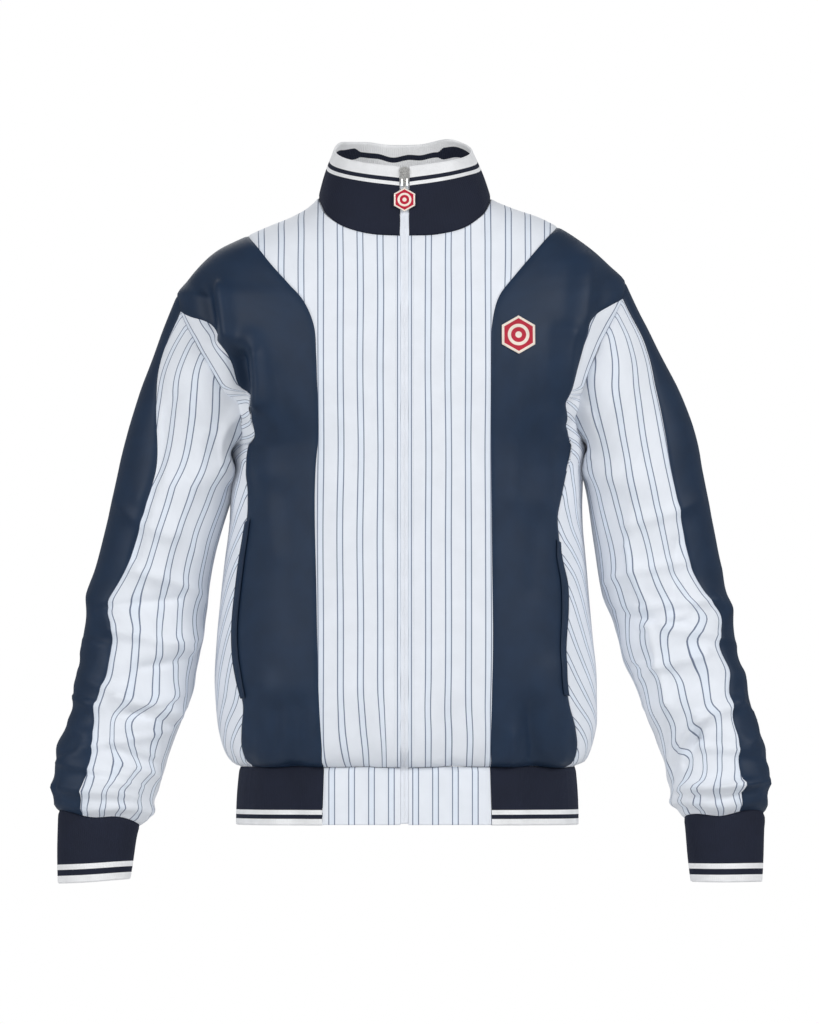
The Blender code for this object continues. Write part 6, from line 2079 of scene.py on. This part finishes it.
# %% Red and cream, in thread and in enamel
RED = (0.5, 0.012, 0.038, 1)
CREAM = (0.93, 0.82, 0.72, 1)
CREAM_BLUR = 0.01

medal, given, result = new_group(
    "medal_masks", {"Across": 0, "Along": 0, "Radius": BADGE_RADIUS}, ("Cream",)
)
do = maths(medal)
x = do("DIVIDE", given["Across"], given["Radius"])
v = do("DIVIDE", given["Along"], given["Radius"])
reach = do("SQRT", do("ADD", do("MULTIPLY", x, x), do("MULTIPLY", v, v)))
flat_side = do("ABSOLUTE", x)
for turn in (math.radians(60), math.radians(-60)):
    leaned = do("ADD", do("MULTIPLY", x, math.cos(turn)), do("MULTIPLY", v, math.sin(turn)))
    flat_side = do("MAXIMUM", flat_side, do("ABSOLUTE", leaned))
flat_side = do("DIVIDE", flat_side, math.cos(math.radians(30)))
off_ring = do("ABSOLUTE", do("SUBTRACT", reach, RING_AT))
rim_mask = ramp(medal, flat_side, BORDER_FROM - CREAM_BLUR, BORDER_FROM + CREAM_BLUR)
ring_mask, dot_mask = (
    ramp(medal, value, limit - CREAM_BLUR, limit + CREAM_BLUR, 1, 0)
    for value, limit in ((off_ring, RING_HALF), (reach, DOT_REACH))
)
feed(medal, result["Cream"], do("MAXIMUM", rim_mask, do("MAXIMUM", ring_mask, dot_mask)))


def red_and_cream(cloth, radius):
    _, tree, _, across, along = cloth
    masks = use_group(tree, medal, Across=across, Along=along, Radius=radius)
    return blend_colours(tree, masks["Cream"], RED, CREAM)


cloth = cloth_material("badge_thread", 0.5, 0.2)
colour = red_and_cream(cloth, BADGE_RADIUS)
badge.data.materials.append(knitted(cloth, colour, 0.12, 0.7, Wale=0.55, Course=2.6, Slant=0.5))

cloth = cloth_material("tag_enamel", 0.22, 0)
enamel, tree, shader, _, _ = cloth
shader.inputs["Coat Weight"].default_value = 0.5
flecked(tree, shader, red_and_cream(cloth, TAG_RADIUS), 700, 0.06, 0.1)
tag_face.data.materials.append(enamel)
print("materials:", badge.data.materials[0].name, enamel.name)

# %% The metal of the slider, its link and the tag's body
bright_metal, tree, shader = hard_material("bright_cast_metal", 0.3, 1)
marks = flecked(tree, shader, (0.82, 0.81, 0.78), 1400, 0.08, 0.12, 3)
feed(tree, shader.inputs["Roughness"], ramp(tree, marks, 0.3, 0.7, 0.24, 0.4))
for name in ("zip_slider", "pull_link", "pull_tag"):
    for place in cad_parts[name].material_slots:
        place.material = bright_metal
print("metal nodes:", 3)

# %% The stitches
ZIP_STITCH_FROM_EDGE = 6
THREAD_LIFT = 0.12
for side in SIDES:
    panel = fine[f"front_centre_{side}"]
    lift = -THREAD_LIFT if faces_inward("front", panel) else THREAD_LIFT
    stitch_lines.append(("pale", line_inside(panel, lift, distance=ZIP_STITCH_FROM_EDGE)[2:-2]))


def thread_material(name, colour):
    """Sewing thread, with its twist."""
    material, tree, shader, _, _ = cloth_material(name, 0.6, 0.1)
    where = put(tree, "ShaderNodeTexCoord").outputs["Object"]
    twist = put(tree, "ShaderNodeTexWave", Vector=where, Scale=1500).outputs[1]
    feed(tree, shader.inputs["Base Color"], toned(tree, colour, twist, 0.1))
    bumped(tree, shader, twist, 0.3, 0.0001)
    return material


pale_thread = thread_material("pale_thread", (0.8, 0.83, 0.88))
dark_thread = thread_material("dark_thread", (0.02, 0.03, 0.055))
for shade, material, slot_name in (
    ("pale", pale_thread, "white_stripe_cloth"), ("dark", dark_thread, "navy_cloth")
):
    lines = [line for kind, line in stitch_lines if kind == shade]
    stitches = path_object(f"stitches_{shade}", lines)
    grown(stitches, stitch_tree, {
        "Pitch": 2.7 * MM, "Length": 2.2 * MM, "Thickness": 0.42 * MM, "Width": 0.42 * MM,
        "Aside": 0.0, "Material": material,
    })
    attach(stitches, "jacket")
    print(stitches.name, "faces:", len(stitches.data.polygons))
